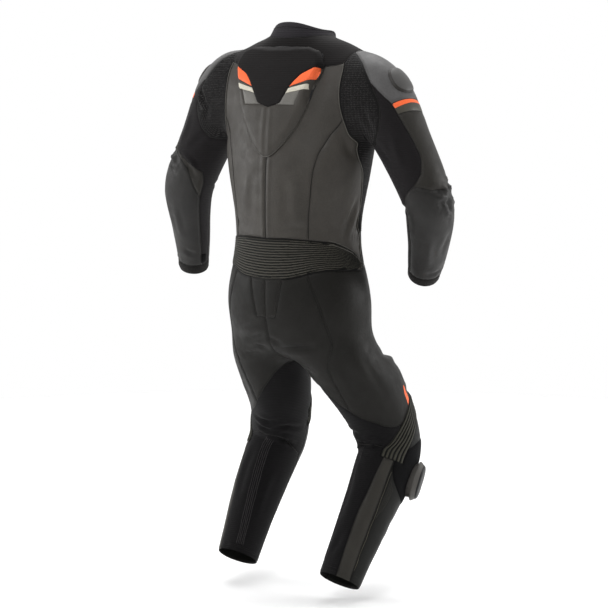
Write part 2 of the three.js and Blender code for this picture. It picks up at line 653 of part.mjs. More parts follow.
// Loose corners go to the piece they border.
function tidy() {
  for (let round = 0; round < 3; round++) {
    const owner = new Map();
    net.faces.forEach((f, i) => f.v.forEach((v, k) => {
      owner.set(v + '_' + f.v[(k + 1) % f.v.length], i);
    }));
    const group = new Array(net.faces.length).fill(-1);
    const sizes = [];
    net.faces.forEach((f, i) => {
      if (group[i] >= 0) return;
      const stack = [i];
      group[i] = sizes.length;
      let count = 0;
      while (stack.length) {
        const g = net.faces[stack.pop()];
        count++;
        g.v.forEach((v, k) => {
          const j = owner.get(g.v[(k + 1) % g.v.length] + '_' + v);
          if (j === undefined || group[j] >= 0 || net.faces[j].piece !== f.piece) return;
          group[j] = sizes.length;
          stack.push(j);
        });
      }
      sizes.push({ piece: f.piece, count });
    });
    const largest = {};
    sizes.forEach((s, i) => {
      if (largest[s.piece] === undefined || sizes[largest[s.piece]].count < s.count) largest[s.piece] = i;
    });
    let moved = 0;
    net.faces.forEach((f, i) => {
      if (largest[f.piece] === group[i]) return;
      const length = {};
      f.v.forEach((v, k) => {
        const w = f.v[(k + 1) % f.v.length];
        const j = owner.get(w + '_' + v);
        if (j === undefined || net.faces[j].piece === f.piece) return;
        const d = net.point[v].distanceTo(net.point[w]);
        length[net.faces[j].piece] = (length[net.faces[j].piece] || 0) + d;
      });
      const best = Object.keys(length).sort((p, q) => length[q] - length[p])[0];
      if (!best) return;
      f.moveTo = best;
      moved++;
    });
    net.faces.forEach((f) => {
      if (f.moveTo) f.piece = f.moveTo;
      delete f.moveTo;
    });
    if (!moved) break;
  }
}

// Solids.
const paint = {
  leather: new THREE.MeshStandardMaterial({ color: 0x4a4743, roughness: 0.55 }),
  cap: new THREE.MeshStandardMaterial({ color: 0x5a5a59, roughness: 0.55 }),
  stretch: new THREE.MeshStandardMaterial({ color: 0x2a2728, roughness: 0.9 }),
  orange: new THREE.MeshStandardMaterial({ color: 0xf26a3c, roughness: 0.5 }),
  white: new THREE.MeshStandardMaterial({ color: 0xe6e2d6, roughness: 0.5 }),
  grey: new THREE.MeshStandardMaterial({ color: 0x7f7d78, roughness: 0.5 }),
  rubber: new THREE.MeshStandardMaterial({ color: 0x3c3c3c, roughness: 0.45 }),
  metal: new THREE.MeshStandardMaterial({ color: 0x55565a, roughness: 0.35, metalness: 0.8 }),
};
const suit = new THREE.Group();
suit.name = 'race_suit';
function addSolid(title, points, triangles, material) {
  const geometry = new THREE.BufferGeometry();
  geometry.setAttribute('position', new THREE.Float32BufferAttribute(points.flatMap((p) => [p.x, p.y, p.z]), 3));
  geometry.setIndex(triangles.flat());
  geometry.computeVertexNormals();
  const mesh = new THREE.Mesh(geometry, material);
  mesh.name = title;
  suit.add(mesh);
}
function triangles(poly, at) {
  const left = poly.map((_, i) => i);
  const out = [];
  const facing = vec(0, 0, 0);
  poly.forEach((p, i) => facing.add(at(p).clone().cross(at(poly[(i + 1) % poly.length]))));
  facing.normalize();
  const quality = (i, j, k) => {
    const [a, b, c] = [at(poly[i]), at(poly[j]), at(poly[k])];
    const area = b.clone().sub(a).cross(c.clone().sub(a)).dot(facing);
    const longest = Math.max(a.distanceTo(b), b.distanceTo(c), c.distanceTo(a));
    return area / (longest * longest);
  };
  while (left.length > 3) {
    let best = -1e9;
    let pick = 0;
    for (let i = 0; i < left.length; i++) {
      const ear = [left[(i + left.length - 1) % left.length], left[i], left[(i + 1) % left.length]];
      let score = quality(...ear);
      const rest = left.filter((_, n) => n !== i);
      if (rest.length === 3) score = Math.min(score, quality(...rest));
      if (score > best) {
        best = score;
        pick = i;
      }
    }
    const n = left.length;
    out.push([poly[left[(pick + n - 1) % n]], poly[left[pick]], poly[left[(pick + 1) % n]]]);
    left.splice(pick, 1);
  }
  out.push(left.map((i) => poly[i]));
  return out;
}
// A wall between two levels over the given faces; each level is a height above the net.
function sheet(title, faces, under, over, material) {
  const corner = new Map();
  const parent = [];
  const find = (i) => {
    while (parent[i] !== i) i = parent[i];
    return i;
  };
  faces.forEach((f, n) => f.v.forEach((v, k) => {
    corner.set(n + '_' + k, parent.length);
    parent.push(parent.length);
  }));
  const owner = new Map();
  faces.forEach((f, n) => f.v.forEach((v, k) => owner.set(v + '_' + f.v[(k + 1) % f.v.length], [n, k])));
  const rim = [];
  faces.forEach((f, n) => f.v.forEach((v, k) => {
    const w = f.v[(k + 1) % f.v.length];
    const other = owner.get(w + '_' + v);
    if (!other) {
      rim.push([n, k]);
      return;
    }
    const size = faces[other[0]].v.length;
    const mine = [corner.get(n + '_' + k), corner.get(n + '_' + (k + 1) % f.v.length)];
    const theirs = [corner.get(other[0] + '_' + (other[1] + 1) % size), corner.get(other[0] + '_' + other[1])];
    mine.forEach((c, i) => { parent[find(c)] = find(theirs[i]); });
  }));
  const local = new Map();
  const data = [];
  const idOf = (n, k) => {
    const root = find(corner.get(n + '_' + k));
    if (!local.has(root)) {
      local.set(root, data.length);
      const f = faces[n];
      data.push({ v: f.v[k], q: f.q[k], f, ways: [] });
    }
    return local.get(root);
  };
  const polys = faces.map((f, n) => f.v.map((_, k) => idOf(n, k)));
  const rims = rim.map(([n, k]) => [polys[n][k], polys[n][(k + 1) % polys[n].length]]);
  for (const [a, b] of rims) {
    const dir = net.point[data[b].v].clone().sub(net.point[data[a].v]);
    for (const i of [a, b]) {
      data[i].ways.push(net.normal[data[i].v].clone().cross(dir).normalize());
    }
  }
  const foot = data.map((d) => {
    const p = net.point[d.v].clone();
    if (!d.ways.length) return p;
    const sum = d.ways.reduce((s, w) => s.add(w), vec(0, 0, 0));
    const scale = Math.max(0.5, sum.lengthSq() / d.ways.length);
    return p.addScaledVector(sum, GAP / 2 / scale);
  });
  const level = (d, i, height) => foot[i].clone().addScaledVector(net.normal[d.v], height(d, d.ways.length > 0));
  const outer = data.map((d, i) => level(d, i, over));
  const inner = data.map((d, i) => level(d, i, under));
  const base = data.length;
  const tris = [];
  for (const poly of polys) {
    for (const [a, b, c] of triangles(poly, (i) => foot[i])) {
      tris.push([a, b, c], [base + a, base + c, base + b]);
    }
  }
  for (const [a, b] of rims) {
    if (data[a].v < data[b].v) tris.push([b, a, base + a], [b, base + a, base + b]);
    else tris.push([b, a, base + b], [a, base + a, base + b]);
  }
  addSolid(title, [...outer, ...inner], tris, material);
  return { outer, inner, polys: polys.flatMap((poly) => triangles(poly, (i) => foot[i])) };
}
function pierce(list, from, dir) {
  let best = null;
  const ray = new THREE.Ray(from, dir.clone().normalize());
  for (const skin of list) {
    for (const [a, b, c] of skin.polys) {
      const p = ray.intersectTriangle(skin.outer[a], skin.outer[b], skin.outer[c], false, vec(0, 0, 0));
      if (p && (!best || p.distanceTo(from) < best.distanceTo(from))) best = p;
    }
  }
  return best;
}
// A hard shield on a skin: an oval foot that follows the skin, lifted clear of it, and a domed or flat top.
function shield(title, skin, centre, out, up, size, profile, follow, material) {
  const n = out.clone().normalize();
  const y = up.clone().addScaledVector(n, -up.dot(n)).normalize();
  const x = y.clone().cross(n);
  const around = 20;
  const onSkin = (p) => pierce(skin, p.clone().addScaledVector(n, 60), n.clone().negate()) || p;
  const ringPoint = (scale, i) => {
    const t = i / around * Math.PI * 2;
    const c = Math.cos(t);
    const s = Math.sin(t);
    const px = Math.sign(c) * Math.pow(Math.abs(c), 0.85) * size[0] * scale;
    const py = Math.sign(s) * Math.pow(Math.abs(s), 0.85) * size[1] * scale;
    return centre.clone().addScaledVector(x, px).addScaledVector(y, py);
  };
  const points = [];
  for (const scale of [1, 0.55]) {
    for (let i = 0; i < around; i++) points.push(onSkin(ringPoint(scale, i)));
  }
  points.push(onSkin(centre));
  const first = (r) => (r < 2 ? r * around : 2 * around + 1 + (r - 2) * around);
  const tris = [];
  const band = (r, s) => {
    for (let i = 0; i < around; i++) {
      const j = (i + 1) % around;
      tris.push([first(r) + i, first(r) + j, first(s) + j], [first(r) + i, first(s) + j, first(s) + i]);
    }
  };
  band(1, 0);
  for (let i = 0; i < around; i++) tris.push([2 * around, around + (i + 1) % around, around + i]);
  let lift = 0;
  for (const [a, b, c] of tris) {
    for (let i = 0; i <= 5; i++) {
      for (let j = 0; j <= 5 - i; j++) {
        const p = points[a].clone().multiplyScalar(i / 5).addScaledVector(points[b], j / 5);
        p.addScaledVector(points[c], (5 - i - j) / 5);
        lift = Math.max(lift, onSkin(p).sub(p).dot(n));
      }
    }
  }
  lift += FOOT_CLEAR;
  const base = points.map((p) => p.clone());
  points.forEach((p) => p.addScaledVector(n, lift));
  band(0, 2);
  for (const [scale, height] of profile) {
    for (let i = 0; i < around; i++) {
      const p = ringPoint(scale, i);
      points.push(follow ? onSkin(p).addScaledVector(n, lift + height) : p.addScaledVector(n, height));
    }
  }
  const crown = profile[profile.length - 1][1];
  const top = follow ? base[2 * around] : centre;
  points.push(top.clone().addScaledVector(n, (follow ? lift : 0) + crown));
  for (let r = 2; r < profile.length + 1; r++) band(r, r + 1);
  for (let i = 0; i < around; i++) {
    const last = first(profile.length + 1);
    tris.push([points.length - 1, last + i, last + (i + 1) % around]);
  }
  addSolid(title, points, tris, material);
}
// A flat outline drawn out between two levels; place() turns (u, v, level) into a point.
function drawn(title, outline, place, material) {
  const n = outline.length;
  const points = [0, 1].flatMap((w) => outline.map(([u, v]) => place(u, v, w)));
  const shape = outline.map(([u, v]) => new THREE.Vector2(u, v));
  const tris = [];
  for (const [p, q, r] of THREE.ShapeUtils.triangulateShape(shape, [])) {
    tris.push([p, r, q], [n + p, n + q, n + r]);
  }
  const turn = THREE.ShapeUtils.area(shape) > 0;
  for (let i = 0; i < n; i++) {
    const j = (i + 1) % n;
    if (turn) tris.push([i, j, n + j], [i, n + j, n + i]);
    else tris.push([j, i, n + i], [j, n + i, n + j]);
  }
  let volume = 0;
  for (const [p, q, r] of tris) volume += points[p].dot(points[q].clone().cross(points[r]));
  addSolid(title, points, volume > 0 ? tris : tris.map(([p, q, r]) => [p, r, q]), material);
}

// Cutting out every piece.
buildNet();
relax();
for (const side of ['l', 'r']) {
  cutTorso(side);
  cutLeg(side);
  cutArm(side);
  cutZip(side);
  cutHump(side);
  cut((f) => f.piece === 'shin_' + side, gripField, () => {}, mark('grip', side));
}
cut((f) => f.on.hump, (a, h) => humpDepth(a, h) - HUMP_SHOULDER, () => {}, () => {});
cutRibs();
tidy();

const dark = ['collar', 'yoke', 'belt', 'gusset', 'sleeve_stretch', 'thigh_stretch', 'calf', 'knee', 'zip_tape'];
const family = (piece) => piece.replace(/_[lr]$/, '');
const skins = {};
const pieces = [...new Set(net.faces.map((f) => f.piece))].sort();
for (const piece of pieces) {
  const faces = net.faces.filter((f) => f.piece === piece);
  const kind = family(piece);
  let material = dark.includes(kind) ? paint.stretch : paint.leather;
  if (kind === 'cap' || kind === 'strip') material = paint.cap;
  if (kind === 'arm_band') material = paint.orange;
  skins[piece] = sheet(piece, faces, () => -WALL,
    (d, edge) => (edge ? 0 : liftOf(piece, d.q[0], d.q[1], d.f)), material);
}

// The hump: a foam core and the leather and stretch pieces that cover it.
const humpFaces = net.faces.filter((f) => f.on.hump);
const rise = (d) => humpRise(d.q[0], d.q[1]);
sheet('hump_core', humpFaces, () => 0.35, (d) => rise(d) - WALL - GAP, paint.rubber);
for (const key of [...new Set(humpFaces.map((f) => f.on.hump))].sort()) {
  const kind = family(key);
  const material = { shell: paint.leather, insert: paint.stretch }[kind] || paint[kind];
  sheet('hump_' + key, humpFaces.filter((f) => f.on.hump === key), (d) => rise(d) - WALL, rise, material);
}

// Knee: the hook-and-loop field on the shin and the slider held on it.
function limbFrame(table, index, turn, sign) {
  const r = table[index];
  const along = vec(...table[index + 1].slice(0, 3)).sub(vec(...table[index - 1].slice(0, 3))).normalize();
  const u = vec(1, 0, 0).addScaledVector(along, -along.x).normalize();
  const v = u.clone().cross(along);
  const out = u.multiplyScalar(Math.cos(rad(turn))).addScaledVector(v, Math.sin(rad(turn)));
  const flip = (p) => vec(sign * p.x, p.y, p.z);
  return { centre: flip(vec(...r.slice(0, 3))), out: flip(out), along: flip(along) };
}
for (const [side, sign] of [['l', 1], ['r', -1]]) {
  const grip = net.faces.filter((f) => f.on.grip === side && f.piece === 'shin_' + side);
  const field = sheet('knee_grip_' + side, grip, () => 0.35, () => 0.35 + GRIP.rise, paint.stretch);
  const at = limbFrame(LEG[side], 8, -27, sign);
  const start = at.centre.clone().addScaledVector(at.along, 14);
  const spot = pierce([field], start.clone().addScaledVector(at.out, 160), at.out.clone().negate());
  shield('knee_slider_' + side, [field, skins['shin_' + side]], spot, at.out, at.along.clone().negate(),
    SLIDER_SIZE, [[1, 9], [1, 17], [0.93, 21.5], [0.7, 23.5], [0.3, 24.2]], false, paint.rubber);
  const inside = vec(sign * 214, -12, -152);
  const way = vec(sign * 0.73, -0.02, 0.68).normalize();
  const capSkins = ['cap_', 'arm_band_', 'sleeve_stretch_', 'gusset_'].map((k) => skins[k + side]);
  capSkins.push(skins.yoke);
  const cup = pierce(capSkins, inside.clone().addScaledVector(way, 260), way.clone().negate());
  shield('shoulder_cup_' + side, capSkins, cup, way, vec(sign * -0.6, 0, 0.8),
    CUP_SIZE, [[1, 2.6], [0.94, 5.4], [0.78, 7.6], [0.45, 9]], true, paint.cap);
}

// Front zip: slider body with two lugs, and the pull tab that swings between them.
const zipSkin = skins.zip_tape;
const ahead = vec(0, -1, 0);
const upper = pierce([zipSkin], vec(0.2, -200, 0), vec(0, 1, 0));
const lower = pierce([zipSkin], vec(0.2, -200, -14), vec(0, 1, 0));
const SLIDER = { deep: 4.4, tall: 15, half: 5.4, lug: 1.5, slot: 2.7, reach: 4.2 };
const PULL = { half: 4.4, neck: 2.3, head: 1.2, thick: 2, long: 32 };
const faceY = Math.min(upper.y, lower.y) - 0.6;
const frontY = faceY - SLIDER.deep;
const tipY = frontY - SLIDER.reach;
const lug = SLIDER.slot + SLIDER.lug;
drawn('zip_slider', [[-SLIDER.half, faceY], [SLIDER.half, faceY], [SLIDER.half, frontY], [lug, frontY],
  [lug, tipY], [SLIDER.slot, tipY], [SLIDER.slot, frontY], [-SLIDER.slot, frontY], [-SLIDER.slot, tipY],
  [-lug, tipY], [-lug, frontY], [-SLIDER.half, frontY]],
(x, y, w) => vec(x, y, lower.z + w * SLIDER.tall), paint.metal);
const axis = vec(0, frontY - SLIDER.reach / 2, lower.z + 4);
const low = axis.z - PULL.long;
drawn('zip_pull', [[-PULL.neck, axis.z + PULL.head], [-PULL.neck, axis.z - 7], [-PULL.half, axis.z - 10],
  [-PULL.half, low + 4], [-PULL.half + 2.4, low], [PULL.half - 2.4, low], [PULL.half, low + 4],
  [PULL.half, axis.z - 10], [PULL.neck, axis.z - 7], [PULL.neck, axis.z + PULL.head]],
(x, z, w) => vec(x, axis.y - PULL.thick / 2 + w * PULL.thick, z), paint.metal);

export default suit;
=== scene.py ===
import math

import bpy
import numpy as np
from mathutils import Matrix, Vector
from mathutils.bvhtree import BVHTree
from mathutils.kdtree import KDTree

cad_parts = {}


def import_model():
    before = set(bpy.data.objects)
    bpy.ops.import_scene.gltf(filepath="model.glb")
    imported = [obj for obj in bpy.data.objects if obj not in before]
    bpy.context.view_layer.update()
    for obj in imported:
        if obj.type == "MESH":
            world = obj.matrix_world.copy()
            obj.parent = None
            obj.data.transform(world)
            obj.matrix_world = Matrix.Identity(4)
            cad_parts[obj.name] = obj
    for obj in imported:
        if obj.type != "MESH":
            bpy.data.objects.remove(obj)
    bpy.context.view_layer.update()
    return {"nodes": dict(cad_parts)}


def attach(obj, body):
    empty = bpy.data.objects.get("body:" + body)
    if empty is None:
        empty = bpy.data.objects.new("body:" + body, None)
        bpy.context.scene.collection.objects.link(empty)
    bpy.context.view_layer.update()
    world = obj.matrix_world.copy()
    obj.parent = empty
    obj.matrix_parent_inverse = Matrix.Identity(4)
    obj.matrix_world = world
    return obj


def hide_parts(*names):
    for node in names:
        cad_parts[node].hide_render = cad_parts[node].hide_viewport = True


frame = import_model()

# A one-piece leather race suit, filled out and empty. The panels are worked out in millimetres from the
# suit's own sections and seams, then made as meshes in metres. +Z up, the front faces -Y.
MM = 0.001

# Sizes.
WALL = 1.6                # leather and cloth thickness
BELT_RIBS = 15
BELT_PLAIN = 112          # degrees from the spine where the ribs end
BELT_RIB_HEIGHT = 2.7
KNEE_RIBS = 6
KNEE_RIB_HEIGHT = 2.6
HUMP_RIM = 4.0
HUMP_SHOULDER = 15.0
CUFF_LENGTH = 27.0
STRIPE_WIDTH = 21.0       # band on the upper arm
ZIP_HALF = 3.4            # degrees of zip tape each side of the breastbone
KNEE = dict(turn=-90, height=-1003, wide=1.55, inner=94, outer=130, bottom=-1012, end=-165)
GRIP = dict(turn=-36, height=-1018, wide=95, tall=60, rise=1.6)
ARC = 1.33                # millimetres per degree round the knee
SLIDER_SIZE = (31.0, 48.0)
CUP_SIZE = (34.0, 34.0)
LEVELS = 3                # times that each net face is quartered
# Heights of level seams: collar, yoke, the seat patch's top, the low end of the zip, the hump's grey.
COLLAR_SEAM, YOKE_SEAM, PATCH_TOP, ZIP_END, GREY_LOW = 30, -30, -606, -640, -137
HUMP_ARC = 2.9            # millimetres per degree across the hump
KNURL = dict(around=0.72, along=0.75, pitch=3.1, high=1.3, plain=3, fade=4)
# The felled seam down the spine: millimetres per degree, its two edges, their slope and its height.
FELL = dict(arc=2.3, near=1.5, far=10, slope=2.5, high=0.9)

# Torso rings below the arms: height at back, side and front, half width, depth at back and front.
TORSO = [
    (-714, -672, -700, 188, 114, -128), (-666, -630, -650, 192, 131, -124),
         (-612, -586, -600, 192, 137, -119),
    (-560, -542, -552, 182, 136, -114), (-512, -500, -506, 168, 133, -110),
         (-466, -458, -462, 160, 133, -110),
    (-422, -416, -420, 160, 135, -112), (-378, -372, -376, 168, 136, -116),
         (-332, -328, -330, 179, 136, -120),
    (-286, -288, -284, 189, 134, -122), (-240, -254, -238, 197, 129, -122),
]
# Rings beside the armholes: height and depth on the spine, height and depth on the breastbone.
CHEST = [(-200, 122, -198, -122), (-162, 112, -166, -118), (-122, 100, -136, -110), (-84, 87, -108, -100),
         (-50, 76, -82, -90)]
# Shoulder and collar rings, as the torso rings with the depth at the side added.
NECK = [
    (-22, 12, -60, 138, 68, -84, -14), (4, 22, -42, 102, 64, -80, -14), (22, 30, -26, 80, 60, -81, -15),
    (42, 38, -10, 75, 55, -84, -18), (62, 42, 8, 72, 46, -92, -24),
]
HEIGHTS = [-210, -165, -120, -75, -30, -8, 14, 30, 50, 72]
ARMHOLE = dict(x=188, y=-8, z=-118, high=113, deep=80, lean=12, sink=20)
# Sleeve rings: centre, half size outward, back and front, and how far the ring has turned to the arm.
ARM = [
    [(207, -9, -112, 110, 80, 79, 0.16), (229, -11, -122, 106, 79, 78, 0.4),
     (250, -13, -140, 94, 76, 75, 0.68),
     (271, -15, -172, 81, 72, 72, 0.92), (293, -16, -207, 71, 70, 69, 1), (315, -16, -244, 67, 68, 66, 1),
     (336, -17, -280, 65, 67, 63, 1), (357, -19, -314, 66, 66, 60, 1), (375, -25, -348, 66, 63, 58, 1),
     (389, -39, -383, 63, 59, 55, 1), (399, -56, -419, 55, 54, 52, 1), (409, -72, -455, 51, 49, 49, 1),
     (419, -88, -491, 47, 45, 46, 1), (430, -104, -528, 43, 41, 42, 1), (441, -118, -563, 40, 38, 38, 1)],
    [(207, -9, -114, 105, 80, 79, 0.16), (227, -12, -124, 99, 78, 78, 0.4),
     (246, -15, -142, 87, 75, 75, 0.68),
     (265, -18, -174, 75, 71, 72, 0.92), (285, -20, -210, 68, 68, 69, 1), (306, -22, -248, 65, 66, 66, 1),
     (326, -24, -285, 63, 64, 63, 1), (342, -27, -320, 61, 64, 60, 1), (352, -38, -354, 60, 65, 58, 1),
     (342, -57, -386, 59, 61, 56, 1), (328, -76, -416, 56, 56, 53, 1), (312, -96, -447, 52, 51, 50, 1),
     (294, -116, -479, 48, 46, 47, 1), (275, -136, -511, 44, 42, 43, 1), (254, -156, -543, 39, 38, 38, 1)],
]
# Leg rings: centre, half size outward, inward, back and front, and how far the ring has turned.
LEG = [
    [(99, -8, -744, 91, 88, 101, 106, 0.2), (104, -28, -784, 84, 84, 94, 104, 0.5),
     (110, -50, -824, 79, 80, 86, 96, 0.8), (119, -72, -862, 77, 77, 80, 88, 1),
     (130, -91, -898, 79, 73, 78, 81, 1),
     (141, -106, -930, 80, 70, 78, 77, 1), (151, -115, -958, 79, 69, 77, 76, 1),
     (158, -114, -986, 74, 68, 76, 76, 1),
     (163, -102, -1016, 73, 66, 78, 70, 1), (165, -84, -1050, 71, 63, 79, 64, 1),
     (166, -62, -1088, 69, 60, 78, 59, 1),
     (166, -38, -1130, 66, 57, 74, 55, 1), (165, -13, -1170, 63, 54, 68, 52, 1),
     (163, 12, -1210, 58, 51, 62, 50, 1),
     (161, 43, -1258, 54, 50, 57, 49, 1)],
    [(105, -22, -744, 100, 88, 98, 114, 0.2), (119, -56, -784, 98, 82, 92, 114, 0.5),
     (132, -86, -824, 93, 77, 88, 109, 0.8), (142, -108, -862, 87, 74, 84, 101, 1),
     (151, -127, -898, 83, 71, 84, 93, 1),
     (158, -140, -930, 80, 70, 90, 88, 1), (163, -146, -958, 78, 70, 92, 86, 1),
     (166, -141, -986, 76, 69, 92, 84, 1),
     (167, -125, -1016, 74, 67, 92, 78, 1), (166, -104, -1050, 72, 64, 91, 69, 1),
     (164, -80, -1088, 69, 60, 82, 62, 1),
     (161, -52, -1130, 66, 57, 78, 57, 1), (158, -24, -1172, 62, 54, 72, 53, 1),
     (155, 4, -1214, 58, 51, 65, 50, 1),
     (152, 41, -1272, 54, 50, 59, 49, 1)],
]
CROTCH = [(-58, -742), (0, -762), (56, -748)]

# Seams. Torso: degrees round from the spine, height. Arm and leg: degrees from the outer line, then the
# height, or the distance down the arm.
BELT_TOP = [(0, -440), (20, -440), (40, -445), (67, -455), (87, -477), (104, -510), (112, -512), (140, -506),
            (180, -500)]
BELT_LOW = [(0, -529), (20, -526), (42, -516), (55, -514), (78, -519), (97, -524), (106, -506), (114, -486),
            (180, -470)]
PRINCESS = [(-439, 40), (-351, 39), (-289, 38), (-252, 40), (-208, 46), (-171, 60), (-150, 68), (-30, 92)]
SIDE_BACK = [(-512, 104), (-458, 103), (-400, 102), (-345, 98), (-288, 91), (-254, 80), (-225, 73), (-30, 70)]
SIDE_FRONT = [(-512, 113), (-400, 118), (-300, 116), (-254, 112), (-30, 112)]
SEAT_SIDE = [(-700, 54), (-670, 52), (-643, 49.5), (-588, 43.5), (-525, 36), (-500, 34)]
SEAT_LEG = [(-860, 92), (-831, 86), (-769, 78), (-744, 73), (-715, 66), (-690, 59), (-640, 46)]
PATCH = [(-606, 7.5), (-535, 13)]
LEATHER_LOW = [
    [(0, -905), (24, -907), (41, -895), (56, -872), (73, -852), (86, -831), (110, -798), (137, -768),
     (155, -752),
     (180, -738)],
    [(0, -905), (110, -905), (135, -888), (150, -840), (158, -795), (168, -755), (180, -738)],
]
KNEE_SEAM = [
    [(0, -1012), (37, -1011), (55, -1009), (62, -965), (75, -932), (117, -928), (140, -950), (162, -983),
     (180, -996)],
    [(0, -1012), (150, -1010), (162, -1005), (180, -996)],
]
STRIP_BACK = [(-1275, 63), (-1210, 66), (-1137, 67), (-1062, 60), (-1000, 54)]
STRIP_FRONT = [(-1275, 26), (-1184, 32), (-1123, 35), (-1062, 37), (-1000, 37)]
CALF_INNER = [(-1275, 166), (-1185, 157), (-1133, 158), (-1000, 160)]
GUSSET = [
    [(0, -20), (15, 0), (30, 16), (48, 34), (60, 51), (67, 72), (75, 92), (100, 122), (125, 138), (150, 126),
     (180, 100)],
    [(0, -20), (118, -4), (140, 30), (160, 78), (180, 104)],
]
STRETCH = [
    [(0, 47), (30, 50), (45, 55), (59, 56), (74, 53), (88, 48), (140, 42), (175, 40), (205, 46), (218, 62),
     (226, 100), (234, 145), (260, 158), (380, 166), (560, 170)],
    [(0, 47), (30, 50), (45, 55), (59, 56), (74, 53), (88, 48), (140, 42), (173, 37), (219, 36), (247, 50),
     (260, 71), (270, 103), (290, 133), (340, 146), (400, 150), (560, 150)],
]
STRETCH_FRONT = [(0, 106), (60, 108), (150, 100), (230, 106), (262, 128), (300, 148), (560, 160)]
ELBOW = [[(0, 214), (77, 227), (113, 242), (137, 278), (161, 309), (180, 330)],
         [(0, 288), (42, 280), (70, 266), (110, 262), (180, 300)]]
BAND = [(-110, 106), (-60, 101), (-8, 96), (49, 89), (60, 88)]
HUMP_LOW = [(0, -266), (3, -264.5), (6, -259), (9, -249), (13, -232), (20, -195), (29, -138), (32, -104),
            (39, -44), (43, -14), (60, 70)]
HUMP_TOP = [(0, 13), (20, 11), (35, 4), (46, -14), (60, -40)]
HUMP_HEIGHT = [(-266, 6), (-232, 10), (-193, 14), (-138, 20), (-90, 26), (-30, 27), (10, 24)]
INSERT = [(0, -144), (9, -134), (14, -104), (18, -80), (24, -56), (34, -42), (50, -34)]
ORANGE_LOW = [(12, -97), (19, -88), (39, -66)]
WHITE_TOP = [(10, -102), (17, -94), (31, -84)]
STRIPE_END = [(-140, 31), (-82, 31), (-77, 34), (-60, 36.5), (-44, 38.3)]
WHITE_LOW = [(10, -112), (17, -106), (31, -97)]
GREY_SIDE = [(-140, 20), (-100, 25)]
ORANGE_WIDTH = [(-110, 6), (8, 6.5), (49, 9.5)]
FLASH_MIDDLE = [(-905, -20), (-860, -25), (-835, -30)]
FLASH_WIDE = [(-905, 0.5), (-890, 4), (-865, 5), (-838, 0)]

T, ARMS, LEGS = 0, 1, 2            # parts of the suit
TRUNK, BACK, FRONT = 0, 1, 2       # halves that a face can lie in
L, R = 0, 1
SIDES = ((L, "l"), (R, "r"))


def read(table, x):
    """The value of a two-column table at x."""
    columns = np.array(table, float)
    return np.interp(x, columns[:, 0], columns[:, 1])


def unit(v):
    v = np.asarray(v, float)
    return v / np.maximum(np.linalg.norm(v, axis=-1, keepdims=True), 1e-9)


def turn_of(a, half):
    """Degrees from the outer line, with the front half counted backwards."""
    return np.where(half == BACK, a, -a)


class Net:
    """The suit's skin as four-sided faces, each corner with its place on the suit (degrees, height)."""

    def __init__(self):
        self.V, self.F, self.Q, self.tags = [], [], [], []

    def point(self, p):
        self.V.append(tuple(float(c) for c in p))
        return len(self.V) - 1

    def face(self, ids, marks, tag, flip):
        self.F.append(ids[::-1] if flip else ids)
        self.Q.append(marks[::-1] if flip else marks)
        self.tags.append(tag)


def torso_ring(zb, zs, zf, half, yb, yf, ys=0.0):
    t = np.arange(13) / 12 * math.pi
    s, c = np.abs(np.sin(t)), np.cos(t)
    reach = np.abs(c) ** (1 / 1.12)
    end, tip = np.where(c >= 0, yb, yf), np.where(c >= 0, zb, zf)
    return np.stack([half * s ** (1 / 1.12), ys + (end - ys) * reach, zs + (tip - zs) * c * c], 1)


def armhole_point(k):
    m, a = ARMHOLE, k * math.pi / 8
    s, c = math.sin(a), math.cos(a)
    deep = m["deep"] * s * (1 if s > 0 else 0.98)
    return np.array((m["x"] - m["lean"] * c - m["sink"] * s * s, m["y"] + deep, m["z"] + m["high"] * c))


def half_torso():
    rows = [list(torso_ring(*r)) for r in TORSO]
    w = math.radians(68)
    for i, (zb, yb, zf, yf) in enumerate(CHEST):
        row = [None] * 13
        for k, (z, y, edge) in ((0, (zb, yb, armhole_point(6 - i))), (12, (zf, yf, armhole_point(i - 6)))):
            for j in range(5):
                t = j / 4
                across = math.sin(t * w) / math.sin(w)
                fore = (math.cos(t * w) - math.cos(w)) / (1 - math.cos(w))
                row[abs(k - j)] = np.array((edge[0] * across, edge[1] + (y - edge[1]) * fore,
                                            z + (edge[2] - z) * t ** 1.6))
        for j in range(5, 8):
            if i == 0:
                row[j] = armhole_point(j + 2)
            if i == len(CHEST) - 1:
                row[j] = armhole_point(6 - j)
        rows.append(row)
    return rows + [list(torso_ring(*r)) for r in NECK]


def limb_rings(table, first, reference, flat, angle, sizes):
    centre = [np.array(r[:3], float) for r in table]
    rings = []
    for i, r in enumerate(table):
        before = centre[i - 1] if i else np.array(first, float)
        along = unit(centre[min(i + 1, len(table) - 1)] - before)
        axis = unit(np.array(flat, float) * (1 - r[-1]) + along * r[-1])
        u = unit(np.array(reference, float) - np.dot(reference, axis) * axis)
        v = np.cross(u, axis)
        out, inn, back, front = sizes(r)
        ring = []
        for k in range(16):
            c, s = math.cos(angle(k)), math.sin(angle(k))
            ring.append(centre[i] + u * c * (out if c > 0 else inn) + v * s * (back if s > 0 else front))
        rings.append(ring)
    return rings


